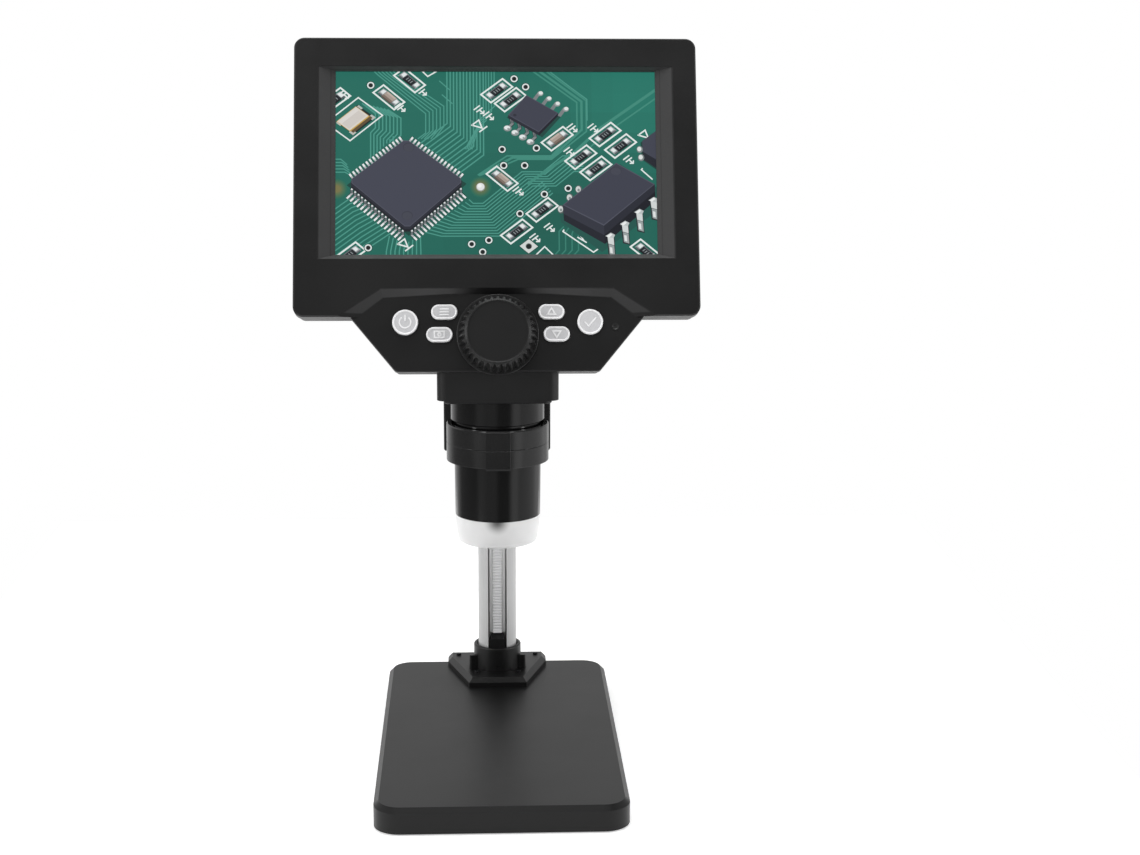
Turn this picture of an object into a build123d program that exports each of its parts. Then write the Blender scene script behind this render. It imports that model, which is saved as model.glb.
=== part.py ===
from build123d import *
import math
import os

os.makedirs("parts", exist_ok=True)

# ---------------------------------------------------------------------------
# Desktop digital microscope with its own flat screen.
# A weighted base carries a vertical column with a rack in its front channel.
# A carriage climbs the column by a pinion and two side knobs, and a clamp ring
# on the carriage holds the barrel of the microscope head.  The head is a
# screen housing that leans back, with a control panel, a focus knob and a
# barrel that points straight down.
# Frame: +X right, +Y back, +Z up, origin under the middle of the base.
# All sizes are in millimetres.
# ---------------------------------------------------------------------------

# --- base ------------------------------------------------------------------
BASE_W = 113.6
BASE_L = 203.0
BASE_TOP = 12.3
BASE_CHAMFER = 2.25
BASE_CORNER = 12.0
FEET_H = 0.6            # how far the pads stand out below the base
BASE_WALL = 2.5
FLOOR_T = 1.6

# --- column ----------------------------------------------------------------
COL_Y = 79.8
COL_R = 9.8
COL_BOTTOM = 13.5
COL_TOP = 221.5
CHANNEL_W = 9.5
CHANNEL_FLOOR = -3.2    # channel floor, measured from the column axis along Y
FLANGE_TOP = 16.8
SOCKET_R = 12.2
SOCKET_TOP = 29.4
TONGUE_TOP = 36.4

# --- height drive ----------------------------------------------------------
MODULE = 0.5
PRESSURE = math.radians(25.0)
H_TEETH = 16            # pitch radius 4 mm
SHAFT_Z = 188.0
RACK_TIP_Y = 72.2
RACK_PITCH_Y = RACK_TIP_Y + 0.9 * MODULE
H_PITCH_R = MODULE * H_TEETH / 2
SHAFT_Y = RACK_PITCH_Y - H_PITCH_R
SHAFT_R = 2.0
SIDE_KNOB_R = 12.5

# --- carriage and ring -----------------------------------------------------
CAR_BOTTOM = 137.4
CAR_TOP = 206.0
CAR_FRONT = 62.0
CAR_BACK = 94.0
CAR_HALF = 22.0
PLATE_HALF = 26.5
SIDE_KNOB_X = 27.8        # inner face of the side knobs
RING_R = 24.95
RING_TOP = 156.2
RING_PART = 146.9
RING_BOTTOM = 138.0
RING_BORE = 22.3
LINER_R = 22.24
LINER_BORE = 21.15

# --- microscope barrel -----------------------------------------------------
LENS_Y = 35.5
COLLAR_R = 22.8
COLLAR_BOTTOM = 158.0
NECK_BOTTOM = 169.8
NECK_STEP = 171.2
NECK_TOP = 203.0
NECK_HALF = 29.0
NECK_FRONT = 10.6
NECK_CORNER = 4.5
NECK_BACK_R = 23.8
BARREL_R = 21.08
BARREL_R_END = 20.85
BARREL_BORE = 18.3
BARREL_BOTTOM = 110.6
DIFF_BOTTOM = 97.0

# --- screen housing (u right, v up along the face, w out of the face) -------
LEAN = 19.12            # degrees the screen leans back
SCR_Y = 42.8            # middle of the picture
SCR_Z = 281.4
PIC_W = 153.6
PIC_H = 90.0
HOUSE_W = 193.0
HOUSE_TOP = 60.6
HOUSE_BOT = -75.4
HOUSE_CORNER = 5.0
FACE_W = 4.0            # front face of the bezel
PANEL_W = 1.5           # face of the control panel
SPLIT_W = -2.7          # joint between bezel and rear cover
BACK_W = -18.0
WALL = 2.2
TRAP_TOP_HALF = 70.7    # control panel half width at v = -74
TRAP_BOT_HALF = 48.1
TRAP_BOT = -101.5

# --- focus drive -----------------------------------------------------------
FOC_TEETH = 14
FOC_PITCH_R = MODULE * FOC_TEETH / 2
FOC_V = -84.0
FOC_S = 10.8            # depth of the focus pinion behind w = 0
FOC_BAR_Y0 = 23.5
FOC_BAR_Y1 = 27.5
KNOB_R = 19.5
KNOB_FACE_R = 15.0
KNOB_TOP_W = 12.6
KNOB_RIBS = 34

BUTTONS = {
    "power_button": (-43.7, -77.9, "round"),
    "menu_button": (-25.2, -73.0, "pill"),
    "mode_button": (-27.5, -83.8, "pill"),
    "up_button": (25.5, -73.0, "pill"),
    "down_button": (27.9, -83.7, "pill"),
    "confirm_button": (43.9, -77.9, "round"),
}
PILL_W = 12.5
PILL_H = 7.2
ROUND_D = 12.2

nodes = {}

LEAN_R = math.radians(LEAN)
HEAD = Location(Plane(origin=(0, SCR_Y, SCR_Z), x_dir=(1, 0, 0),
                      z_dir=(0, -math.cos(LEAN_R), math.sin(LEAN_R))))


def block(x0, x1, y0, y1, z0, z1):
    return Pos((x0 + x1) / 2, (y0 + y1) / 2, (z0 + z1) / 2) * Box(x1 - x0, y1 - y0, z1 - z0)


def rod(r, z0, z1, x=0.0, y=0.0):
    return Pos(x, y, (z0 + z1) / 2) * Cylinder(r, z1 - z0)


def rod_x(r, x0, x1, y, z):
    return Pos((x0 + x1) / 2, y, z) * Rot(0, 90, 0) * Cylinder(r, x1 - x0)


def cone(r0, r1, z0, z1, x=0.0, y=0.0):
    return Pos(x, y, (z0 + z1) / 2) * Cone(r0, r1, z1 - z0)


def prism(points, z0, z1):
    face = make_face(Polyline(*points, close=True))
    return Pos(0, 0, z0) * extrude(face, amount=z1 - z0, dir=(0, 0, 1))


def prism_x(points_yz, x0, x1):
    face = make_face(Polyline(*[(x0, y, z) for y, z in points_yz], close=True))
    return extrude(face, amount=x1 - x0, dir=(1, 0, 0))


def rounded(w, l, r, z0, z1, x=0.0, y=0.0):
    sk = RectangleRounded(w, l, r)
    return Pos(x, y, z0) * extrude(sk, amount=z1 - z0, dir=(0, 0, 1))


def pill(w, h, z0, z1, x=0.0, y=0.0):
    sk = SlotOverall(w, h)
    return Pos(x, y, z0) * extrude(sk, amount=z1 - z0, dir=(0, 0, 1))


def frustum(pts0, z0, pts1, z1):
    w0 = make_face(Polyline(*[(x, y, z0) for x, y in pts0], close=True))
    w1 = make_face(Polyline(*[(x, y, z1) for x, y in pts1], close=True))
    return loft([w0, w1], ruled=True)


def spun(profile_rz, x=0.0, y=0.0):
    face = make_face(Polyline(*[(r, 0, z) for r, z in profile_rz], close=True))
    return Pos(x, y, 0) * revolve(face, axis=Axis.Z, revolution_arc=360)


def gear_points(teeth, phase, backlash=0.05):
    """Outline of an involute spur gear, a tooth centred on the angle phase."""
    rp = MODULE * teeth / 2
    rb = rp * math.cos(PRESSURE)
    ra = rp + 0.9 * MODULE
    rr = rp - 1.2 * MODULE
    inv = lambda a: math.tan(a) - a
    half = math.pi / (2 * teeth) - backlash / (2 * rp)
    pts = []
    radii = [max(rb, rr) + (ra - max(rb, rr)) * k / 4 for k in range(5)]
    for k in range(teeth):
        c = phase + 2 * math.pi * k / teeth
        flank = []
        for r in radii:
            a = half + inv(PRESSURE) - inv(math.acos(min(1.0, rb / r)))
            flank.append((r, a))
        left = [(rr, flank[0][1])] + flank if rr < rb else flank
        for r, a in left:
            pts.append((r * math.cos(c - a), r * math.sin(c - a)))
        for r, a in reversed(left):
            pts.append((r * math.cos(c + a), r * math.sin(c + a)))
    return pts


PITCH = math.pi * MODULE


def rack_profile(first_gap, z0, z1, tip, root, sign, backlash=0.05):
    """Points (depth, travel) of a straight rack edge from z0 to z1.
    A gap is centred on first_gap; depth runs from root to tip."""
    pitch_line = tip + sign * 0.9 * MODULE
    slope = math.tan(PRESSURE)
    k0 = math.ceil((z0 - first_gap) / PITCH)
    pts = [(tip, z0)]
    z = first_gap + k0 * PITCH
    while z + PITCH / 2 < z1:
        half_p = PITCH / 4 + backlash / 2
        up = half_p + abs(tip - pitch_line) * slope
        dn = half_p - abs(root - pitch_line) * slope
        if z - up > z0 + 0.1 and z + up < z1 - 0.1:
            pts += [(tip, z - up), (root, z - dn), (root, z + dn), (tip, z + up)]
        z += PITCH
    pts.append((tip, z1))
    return pts


# ===========================================================================
# Stand: base
# ===========================================================================
shell = rounded(BASE_W, BASE_L, BASE_CORNER, FEET_H, BASE_TOP)
shell = chamfer(shell.faces().sort_by(Axis.Z)[-1].edges(), BASE_CHAMFER)
inner_w = BASE_W - 2 * BASE_WALL
inner_l = BASE_L - 2 * BASE_WALL
cavity = rounded(inner_w, inner_l, BASE_CORNER - BASE_WALL, FEET_H - 0.1, BASE_TOP - 2.5)
shell = shell - cavity
POSTS = [(-48, -90), (48, -90), (-48, 0), (48, 0), (-48, 90), (48, 90)]
for px, py in POSTS:
    shell = shell + rod(3.6, FEET_H + FLOOR_T, BASE_TOP - 2.4, px, py)
# solid pad under the socket
shell = shell + block(-27, 27, 56, 98.8, FEET_H + FLOOR_T, BASE_TOP - 2.4)
for px, py in POSTS:
    shell = shell - rod(1.2, FEET_H, BASE_TOP - 3.6, px, py)
FLANGE_HOLES = [(-20.3, 97.6 - 0.6), (20.3, 97.6 - 0.6), (-10.7, 68.2), (10.7, 68.2)]
for hx, hy in FLANGE_HOLES:
    shell = shell - rod(1.2, 5.0, BASE_TOP + 0.1, hx, hy)
nodes["base_cover"] = shell

floor = rounded(inner_w - 0.4, inner_l - 0.4, BASE_CORNER - BASE_WALL - 0.2, FEET_H, FEET_H + FLOOR_T)
for px, py in POSTS:
    floor = floor - rod(1.4, FEET_H - 0.1, FEET_H + FLOOR_T + 0.1, px, py)
    floor = floor - rod(2.7, FEET_H - 0.1, FEET_H + 0.8, px, py)
FEET = [(-42, -78), (42, -78), (-42, 78), (42, 78)]
for fx, fy in FEET:
    floor = floor - rod(6.0, FEET_H - 0.1, FEET_H + 0.8, fx, fy)
nodes["base_floor_plate"] = floor

nodes["base_ballast"] = rounded(84, 132, 6, FEET_H + FLOOR_T, FEET_H + FLOOR_T + 6.0, 0, -16)

screws = None
for px, py in POSTS:
    s = rod(1.2, FEET_H + 0.8, 8.2, px, py) + rod(2.5, FEET_H + 0.1, FEET_H + 0.8, px, py)
    s = s - (Pos(px, py, FEET_H + 0.25) * Box(3.4, 0.6, 0.4)) - (Pos(px, py, FEET_H + 0.25) * Box(0.6, 3.4, 0.4))
    screws = s if screws is None else screws + s
nodes["base_screws"] = screws

feet = None
for fx, fy in FEET:
    f = rod(5.9, 0.0, FEET_H + 0.8, fx, fy)
    f = chamfer(f.faces().sort_by(Axis.Z)[0].edges(), 0.3)
    feet = f if feet is None else feet + f
nodes["base_feet"] = feet

# ===========================================================================
# Stand: column socket, column and rack
# ===========================================================================
FL_BACK = 101.1
FL_MID = 93.4
FL_FRONT = 57.9
flange_pts = [(-25.9, FL_BACK), (-25.9, FL_MID), (-14.7, FL_FRONT), (14.7, FL_FRONT), (25.9, FL_MID), (25.9, FL_BACK)]
flange = prism(flange_pts, BASE_TOP, FLANGE_TOP)
top_edges = flange.faces().sort_by(Axis.Z)[-1].edges()
top_edges = [e for e in top_edges if abs(e.center().Y - FL_BACK) > 0.2]
flange = chamfer(top_edges, 2.3)
keep = block(-25.9, 25.9, FL_FRONT - 2, FL_BACK, BASE_TOP - 1, FLANGE_TOP + 1)
keep = fillet([e for e in keep.edges().filter_by(Axis.Z) if e.center().Y > FL_BACK - 1], 1.0)
flange = flange & keep
neck_rod = rod(SOCKET_R, FLANGE_TOP - 1, SOCKET_TOP, 0, COL_Y)
neck_rod = fillet(neck_rod.faces().sort_by(Axis.Z)[-1].edges(), 0.8)
socket = flange + neck_rod
lugs = rounded(29.2, 13.0, 1.2, FLANGE_TOP - 1, 24.2, 0, COL_Y)
# the tops of the lugs fall off to the back
lugs = lugs - prism_x([(COL_Y - 4.6, 24.2), (COL_Y + 8, 19.3), (COL_Y + 8, 26), (COL_Y - 4.6, 26)], -16, 16)
socket = socket + lugs
socket = socket - rod(COL_R + 0.05, COL_BOTTOM, SOCKET_TOP + 1, 0, COL_Y)
socket = socket - cone(COL_R + 0.05, 10.9, SOCKET_TOP - 1.3, SOCKET_TOP + 0.001, 0, COL_Y)
# tongue that closes the foot of the column's channel
tongue = prism([(-3.95, 0), (-3.95, 19.6), (-2.7, 22.9), (2.7, 22.9), (3.95, 19.6), (3.95, 0)], 0, 7.2)
tongue = Pos(0, COL_Y + CHANNEL_FLOOR - 0.15, COL_BOTTOM) * Rot(90, 0, 0) * tongue
# its top slopes up from the front edge to the channel floor
tongue = tongue - prism_x([(COL_Y - 10.8, 34.0), (COL_Y - 6.2, 36.6), (COL_Y - 6.2, 38), (COL_Y - 10.8, 38)], -5, 5)
socket = socket + tongue
for hx, hy in FLANGE_HOLES:
    socket = socket - rod(1.35, BASE_TOP - 0.1, FLANGE_TOP + 2, hx, hy)
CROSS_Z = 19.3
socket = socket - rod_x(1.55, -15, 15, COL_Y, CROSS_Z)
socket = socket - rod_x(2.4, -15, -12.9, COL_Y, CROSS_Z) - rod_x(2.4, 12.9, 15, COL_Y, CROSS_Z)
# small pip on the front of the socket
socket = socket - (Pos(0, COL_Y - SOCKET_R, 19.6) * Rot(90, 0, 0) * Cylinder(0.6, 0.8))
nodes["column_socket"] = socket

ss = None
for hx, hy in FLANGE_HOLES:
    s = rod(1.2, 6.0, 14.0, hx, hy)
    h = rod(1.28, 13.4, FLANGE_TOP + 0.9, hx, hy)
    s = s + chamfer(h.faces().sort_by(Axis.Z)[-1].edges(), 0.2)
    s = s - (Pos(hx, hy, FLANGE_TOP + 0.9) * Box(1.5, 0.4, 0.8))
    ss = s if ss is None else ss + s
nodes["socket_screws"] = ss

cross = rod_x(1.5, -13.0, 13.0, COL_Y, CROSS_Z)
cross = cross + rod_x(2.2, -14.3, -12.95, COL_Y, CROSS_Z) + rod_x(2.2, 12.95, 14.3, COL_Y, CROSS_Z)
hexcut = Rot(0, 90, 0) * extrude(RegularPolygon(1.25, 6), amount=1.2, both=True)
cross = cross - (Pos(-14.3, COL_Y, CROSS_Z) * hexcut) - (Pos(14.3, COL_Y, CROSS_Z) * hexcut)
nodes["column_cross_bolt"] = cross

col_face = Circle(COL_R)
col_face = col_face - Pos(0, (CHANNEL_FLOOR - 12) / 2) * Rectangle(CHANNEL_W, abs(CHANNEL_FLOOR + 12))
hollow = Circle(7.4) & Pos(0, 4.0 - 1.0) * Rectangle(20, 8.0)
col_face = col_face - hollow
column = Pos(0, COL_Y, COL_BOTTOM) * extrude(col_face, amount=COL_TOP - COL_BOTTOM, dir=(0, 0, 1))
column = column - rod_x(1.55, -12, 12, COL_Y, CROSS_Z)
nodes["column"] = column

RACK_Z0 = TONGUE_TOP + 0.3
RACK_Z1 = 218.0
edge = rack_profile(SHAFT_Z, RACK_Z0, RACK_Z1, RACK_TIP_Y, RACK_TIP_Y + 2.1 * MODULE, 1)
rack_pts = [(y, z) for y, z in edge] + [(COL_Y + CHANNEL_FLOOR, RACK_Z1), (COL_Y + CHANNEL_FLOOR, RACK_Z0)]
nodes["column_rack"] = prism_x(rack_pts, -2.25, 2.25)

cap = rod(COL_R + 0.9, COL_TOP, COL_TOP + 4.5, 0, COL_Y)
cap = fillet(cap.faces().sort_by(Axis.Z)[-1].edges(), 2.0)
spigot = Pos(0, COL_Y, COL_TOP - 7) * extrude(Circle(7.3) & Pos(0, 4.0 - 1.0) * Rectangle(20, 7.8), amount=7.2, dir=(0, 0, 1))
nodes["column_cap"] = cap + spigot

# ===========================================================================
# Carriage
# ===========================================================================
car = block(-CAR_HALF, CAR_HALF, CAR_FRONT, CAR_BACK, CAR_BOTTOM, CAR_TOP)
back_edges = [e for e in car.edges().filter_by(Axis.Z) if e.center().Y > CAR_BACK - 1]
car = fillet(back_edges, 7.0)
car = chamfer(car.faces().sort_by(Axis.Z)[-1].edges(), 0.8)
car = car - rod(COL_R + 0.1, CAR_BOTTOM - 1, CAR_TOP + 1, 0, COL_Y)
# pinion pocket, open to the front and to the column channel
car = car - block(-2.6, 2.6, CAR_FRONT - 1, 72.5, SHAFT_Z - 5.4, SHAFT_Z + 5.4)
car = car - rod_x(SHAFT_R + 0.3, -CAR_HALF - 1, CAR_HALF + 1, SHAFT_Y, SHAFT_Z)
CAR_COVER_HOLES = [(-17, 163.5), (17, 163.5), (-17, 200), (17, 200)]
for hx, hz in CAR_COVER_HOLES:
    car = car - (Pos(hx, CAR_FRONT + 3, hz) * Rot(90, 0, 0) * Cylinder(1.0, 6.2))
SIDE_SCREWS = [(66.5, 148.0), (88.0, 148.0), (88.0, 199.0)]
for sy, sz in SIDE_SCREWS:
    car = car - rod_x(1.1, -CAR_HALF - 0.1, -CAR_HALF + 6, sy, sz) - rod_x(1.1, CAR_HALF - 6, CAR_HALF + 0.1, sy, sz)
nodes["carriage_body"] = car

cover = block(-21.7, 21.7, 60.2, CAR_FRONT, 158.8, 205.0)
cover = chamfer(cover.faces().sort_by(Axis.Y)[0].edges(), 0.5)
for hx, hz in CAR_COVER_HOLES:
    cover = cover - (Pos(hx, 61, hz) * Rot(90, 0, 0) * Cylinder(1.2, 4))
    cover = cover - (Pos(hx, 60.4, hz) * Rot(90, 0, 0) * Cylinder(2.2, 1.0))
nodes["carriage_cover"] = cover

plate_pts = [(53.0, 138.3), (55.0, CAR_BOTTOM), (90.0, CAR_BOTTOM), (92.0, 138.3), (92.0, 198.0), (84.0, CAR_TOP),
             (60.0, CAR_TOP), (53.0, 199.0)]
for side, name in ((-1, "carriage_side_left"), (1, "carriage_side_right")):
    x0, x1 = sorted((side * CAR_HALF, side * PLATE_HALF))
    plate = prism_x(plate_pts, x0, x1)
    outer = plate.faces().sort_by(Axis.X)[-1 if side > 0 else 0]
    plate = chamfer(outer.edges(), 0.7)
    plate = plate - rod_x(3.0, x0 - 1, x1 + 1, SHAFT_Y, SHAFT_Z)
    for sy, sz in SIDE_SCREWS:
        plate = plate - rod_x(1.3, x0 - 1, x1 + 1, sy, sz)
        c0, c1 = sorted((side * (PLATE_HALF - 1.6), side * (PLATE_HALF + 1)))
        plate = plate - rod_x(2.5, c0, c1, sy, sz)
    nodes[name] = plate

cs = None
for side in (-1, 1):
    for sy, sz in SIDE_SCREWS:
        a0, a1 = sorted((side * (CAR_HALF - 5), side * (PLATE_HALF - 1.6)))
        h0, h1 = sorted((side * (PLATE_HALF - 1.6), side * (PLATE_HALF - 0.2)))
        s = rod_x(1.1, a0, a1, sy, sz) + rod_x(2.35, h0, h1, sy, sz)
        for ang in (0, 90):
            s = s - (Pos(side * (PLATE_HALF - 0.2), sy, sz) * Rot(ang, 0, 0) * Box(1.2, 3.0, 0.6))
        cs = s if cs is None else cs + s
for hx, hz in CAR_COVER_HOLES:
    s = Pos(hx, CAR_FRONT + 1.9, hz) * Rot(90, 0, 0) * Cylinder(1.0, 6.0)
    s = s + Pos(hx, 60.5, hz) * Rot(90, 0, 0) * Cylinder(2.0, 0.8)
    for ang in (0, 90):
        s = s - (Pos(hx, 60.1, hz) * Rot(0, ang, 0) * Box(2.6, 0.6, 0.5))
    cs = cs + s
nodes["carriage_screws"] = cs

bush = None
for side in (-1, 1):
    a0, a1 = sorted((side * CAR_HALF, side * (PLATE_HALF + 0.1)))
    f0, f1 = sorted((side * PLATE_HALF, side * (PLATE_HALF + 0.8)))
    b = rod_x(3.0, a0, a1, SHAFT_Y, SHAFT_Z) + rod_x(4.3, f0, f1, SHAFT_Y, SHAFT_Z)
    b = b - rod_x(SHAFT_R + 0.06, a0 - 1, a1 + 2, SHAFT_Y, SHAFT_Z)
    b = b - rod_x(SHAFT_R + 0.06, a0 - 2, a1 + 1, SHAFT_Y, SHAFT_Z)
    bush = b if bush is None else bush + b
nodes["shaft_bushes"] = bush


def edged(solid, top, bottom):
    """Chamfers all edges of the top and the bottom face."""
    if top:
        solid = chamfer(solid.faces().sort_by(Axis.Z)[-1].edges(), top)
    if bottom:
        solid = chamfer(solid.faces().sort_by(Axis.Z)[0].edges(), bottom)
    return solid


def ring_part(z0, z1, top, bottom):
    r = edged(rod(RING_R, z0, z1, 0, LENS_Y), top, bottom)
    r = r + block(-18.5, 18.5, LENS_Y + 18, CAR_FRONT, z0, z1)
    # front tab
    tab = block(-5.95, 5.95, LENS_Y - RING_R - 0.75, LENS_Y - RING_R + 4, z0, z1)
    r = r + edged(tab, top, bottom)
    return r - rod(RING_BORE, z0 - 1, z1 + 1, 0, LENS_Y)


upper = ring_part(RING_PART, RING_TOP, 0.5, 0.2)
upper = upper - cone(RING_BORE, RING_BORE + 0.35, RING_TOP - 0.35, RING_TOP + 0.001, 0, LENS_Y)
nodes["ring_upper"] = upper
lower = ring_part(RING_BOTTOM, RING_PART, 0.2, 0)
lower = lower + (block(-5.95, 5.95, LENS_Y - RING_R - 0.75, LENS_Y - RING_R + 2.2, RING_BOTTOM - 0.7, RING_BOTTOM + 1)
                 - rod(RING_BORE + 0.5, RING_BOTTOM - 2, RING_BOTTOM + 2, 0, LENS_Y))
nodes["ring_lower"] = lower

liner = rod(LINER_R, RING_BOTTOM + 1.0, RING_TOP - 2.0, 0, LENS_Y) - rod(LINER_BORE, RING_BOTTOM, RING_TOP, 0, LENS_Y)
nodes["grip_liner"] = liner

# ===========================================================================
# Height drive
# ===========================================================================
nodes["height_shaft"] = chamfer(rod_x(SHAFT_R, -SIDE_KNOB_X - 12.8, SIDE_KNOB_X + 12.8, SHAFT_Y, SHAFT_Z).edges(), 0.3)
g = prism(gear_points(H_TEETH, 0.0), -2.0, 2.0) - rod(SHAFT_R, -3, 3)
# local X of the gear points to the rack (+Y), local Y up, local Z along -X
nodes["height_pinion"] = Location(Plane(origin=(0, SHAFT_Y, SHAFT_Z), x_dir=(0, 1, 0), z_dir=(1, 0, 0))) * g


def side_knob(sign):
    prof = [(0, 0), (11.6, 0), (12.5, 0.9), (12.5, 12.4), (11.6, 13.6), (10.2, 13.6), (9.6, 13.0), (0, 13.0)]
    k = spun(prof)
    for i in range(30):
        a = 360 * i / 30
        k = k - Rot(0, 0, a) * (Pos(13.0, 0, 7.2) * Cylinder(1.0, 10.4))
    k = k - rod(SHAFT_R, -1, 12.8)
    return Location(Plane(origin=(sign * SIDE_KNOB_X, SHAFT_Y, SHAFT_Z), x_dir=(0, 1, 0), z_dir=(sign, 0, 0))) * k


nodes["height_knob_left"] = side_knob(-1)
nodes["height_knob_right"] = side_knob(1)

# ===========================================================================
# Head: screen housing, built in the leaning frame
# ===========================================================================


def main_outline(inset, r):
    w = HOUSE_W - 2 * inset
    h = HOUSE_TOP - HOUSE_BOT - 2 * inset
    return Pos(0, (HOUSE_TOP + HOUSE_BOT) / 2) * RectangleRounded(w, h, r)


def trap_outline(inset, r):
    k = (TRAP_TOP_HALF - TRAP_BOT_HALF) / (-74 - TRAP_BOT)
    slant = inset * math.sqrt(1 + k * k)
    vb = TRAP_BOT + inset
    vt = -70.0
    half = lambda v: TRAP_BOT_HALF + k * (v - TRAP_BOT) - slant
    pts = [(-half(vt), vt), (-half(vb), vb), (half(vb), vb), (half(vt), vt)]
    f = make_face(Polyline(*pts, close=True))
    low = f.vertices().sort_by(Axis.Y)[:2]
    return fillet(low, r) if r > 0 else f


def up(sketch, z0, z1):
    return Pos(0, 0, z0) * extrude(sketch, amount=z1 - z0, dir=(0, 0, 1))


# --- front bezel -----------------------------------------------------------
frame_blk = up(main_outline(0, HOUSE_CORNER), SPLIT_W, FACE_W)
frame_blk = chamfer(frame_blk.faces().sort_by(Axis.Z)[-1].edges(), 0.7)
panel_blk = up(trap_outline(0, 2.5), SPLIT_W, PANEL_W)
top_e = [e for e in panel_blk.faces().sort_by(Axis.Z)[-1].edges() if e.center().Y < -71]
panel_blk = chamfer(top_e, 0.45)
bezel = frame_blk + panel_blk

rec_in = [(-71.6, -80), (-53.9, -66.2), (-24, -64.3), (24, -64.3), (53.9, -66.2), (71.6, -80)]
rec_out = [(-83.6, -80), (-55.3, -61.7), (-24, -61.7), (24, -61.7), (55.3, -61.7), (83.6, -80)]
rec_ext = [(a[0] + (b[0] - a[0]) * 1.3, a[1] + (b[1] - a[1]) * 1.3) for a, b in zip(rec_in, rec_out)]
rec_ext = [(x, -80 if abs(y + 80) < 0.5 else y) for x, y in rec_ext]
bezel = bezel - frustum(rec_in, PANEL_W, rec_ext, PANEL_W + (FACE_W - PANEL_W) * 1.3)

wi = [(-PIC_W / 2, -PIC_H / 2), (PIC_W / 2, -PIC_H / 2), (PIC_W / 2, PIC_H / 2), (-PIC_W / 2, PIC_H / 2)]
wo = [(-85.2, -47.7), (85.2, -47.7), (85.2, 46.5), (-85.2, 46.5)]
we = [(a[0] + (b[0] - a[0]) * 1.2, a[1] + (b[1] - a[1]) * 1.2) for a, b in zip(wi, wo)]
bezel = bezel - frustum(wi, 0.8, we, 0.8 + (FACE_W - 0.8) * 1.2)
bezel = bezel - block(-PIC_W / 2, PIC_W / 2, -PIC_H / 2, PIC_H / 2, -1, 1.0)
pocket = up(main_outline(2.0, HOUSE_CORNER - 2.0), SPLIT_W - 0.1, 0.0) + up(trap_outline(2.0, 1.0), SPLIT_W - 0.1, 0.0)
bezel = bezel - pocket
# focus shaft boss
bezel = bezel + rod(6.0, -5.5, 0.2, 0, FOC_V)
bezel = bezel - rod(3.5, -6, 2, 0, FOC_V)
for name, (bu, bv, kind) in BUTTONS.items():
    if kind == "pill":
        bezel = bezel - pill(PILL_W + 0.5, PILL_H + 0.5, -0.5, 2, bu, bv)
    else:
        bezel = bezel - rod(ROUND_D / 2 + 0.25, -0.5, 2, bu, bv)
bezel = bezel - rod(2.0, -0.5, 2, 55.9, -80.1)
HOUSE_SCREWS = [(-89, 53), (89, 53), (-89, -67.5), (89, -67.5), (-40.5, -94), (40.5, -94)]
for hu, hv in HOUSE_SCREWS:
    bezel = bezel + rod(2.8, -3.2, 0.2, hu, hv)
    bezel = bezel - rod(1.1, -3.3, 0.6, hu, hv)
nodes["front_bezel"] = HEAD * bezel

# --- rear cover ------------------------------------------------------------
IN = 1.2
outer = up(main_outline(IN, HOUSE_CORNER - IN), BACK_W, SPLIT_W) + up(trap_outline(IN, 1.8), BACK_W, SPLIT_W)
back_edges = outer.faces().sort_by(Axis.Z)[0].edges()
try:
    outer = fillet(back_edges, 4.5)
except Exception:
    outer = chamfer(back_edges, 4.0)
inner = up(main_outline(IN + WALL, 2.0), BACK_W + 4.7, SPLIT_W + 0.1) + up(trap_outline(IN + WALL, 0.8), BACK_W + 4.7, SPLIT_W + 0.1)
inner = inner + up(main_outline(IN + WALL + 3.0, 2.0), BACK_W + WALL, BACK_W + 4.8) \
    + up(trap_outline(IN + WALL + 3.0, 0.8), BACK_W + WALL, BACK_W + 4.8)
rear = outer - inner
for hu, hv in HOUSE_SCREWS:
    rear = rear + rod(3.4, BACK_W + 1.0, -3.2, hu, hv)
for hu, hv in HOUSE_SCREWS:
    rear = rear - rod(2.7, BACK_W - 1, -9.0, hu, hv) - rod(1.3, BACK_W, -3.0, hu, hv)
# sound and cooling slots
for i in range(7):
    rear = rear - pill(34, 2.0, BACK_W - 1, BACK_W + WALL + 1, 0, 22 + 4.4 * i)
# side openings: inlet and card slot on the left, dimmer wheel on the right
EDGE_U = HOUSE_W / 2 - IN
rear = rear - block(-EDGE_U - 1, -EDGE_U + 4, 7.9, 16.1, -12.0, -8.6)
rear = rear - block(-EDGE_U - 1, -EDGE_U + 4, -26.2, -13.8, -11.1, -8.8)
DIM_U, DIM_V, DIM_R = 88.3, -25.0, 7.9
rear = rear - block(EDGE_U - 4, EDGE_U + 1, DIM_V - 6.6, DIM_V + 6.6, -13.4, -9.7)

# neck, vertical, under and behind the panel
neck_out = block(-NECK_HALF, NECK_HALF, NECK_FRONT, 38.0, NECK_STEP, NECK_TOP)
fe = [e for e in neck_out.edges().filter_by(Axis.Z) if e.center().Y < NECK_FRONT + 1]
neck_out = fillet(fe, NECK_CORNER)
neck_out = neck_out + rod(NECK_BACK_R, NECK_STEP, NECK_TOP, 0, LENS_Y)
low = block(-25.7, 25.7, NECK_FRONT + 0.15, 37.0, NECK_BOTTOM, NECK_STEP + 0.5)
fe = [e for e in low.edges().filter_by(Axis.Z) if e.center().Y < NECK_FRONT + 2]
low = fillet(fe, NECK_CORNER - 1.0)
low = low + rod(NECK_BACK_R - 0.8, NECK_BOTTOM, NECK_STEP + 0.5, 0, LENS_Y)
low = chamfer(low.faces().sort_by(Axis.Z)[0].edges(), 0.35)
neck_out = neck_out + low
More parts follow.
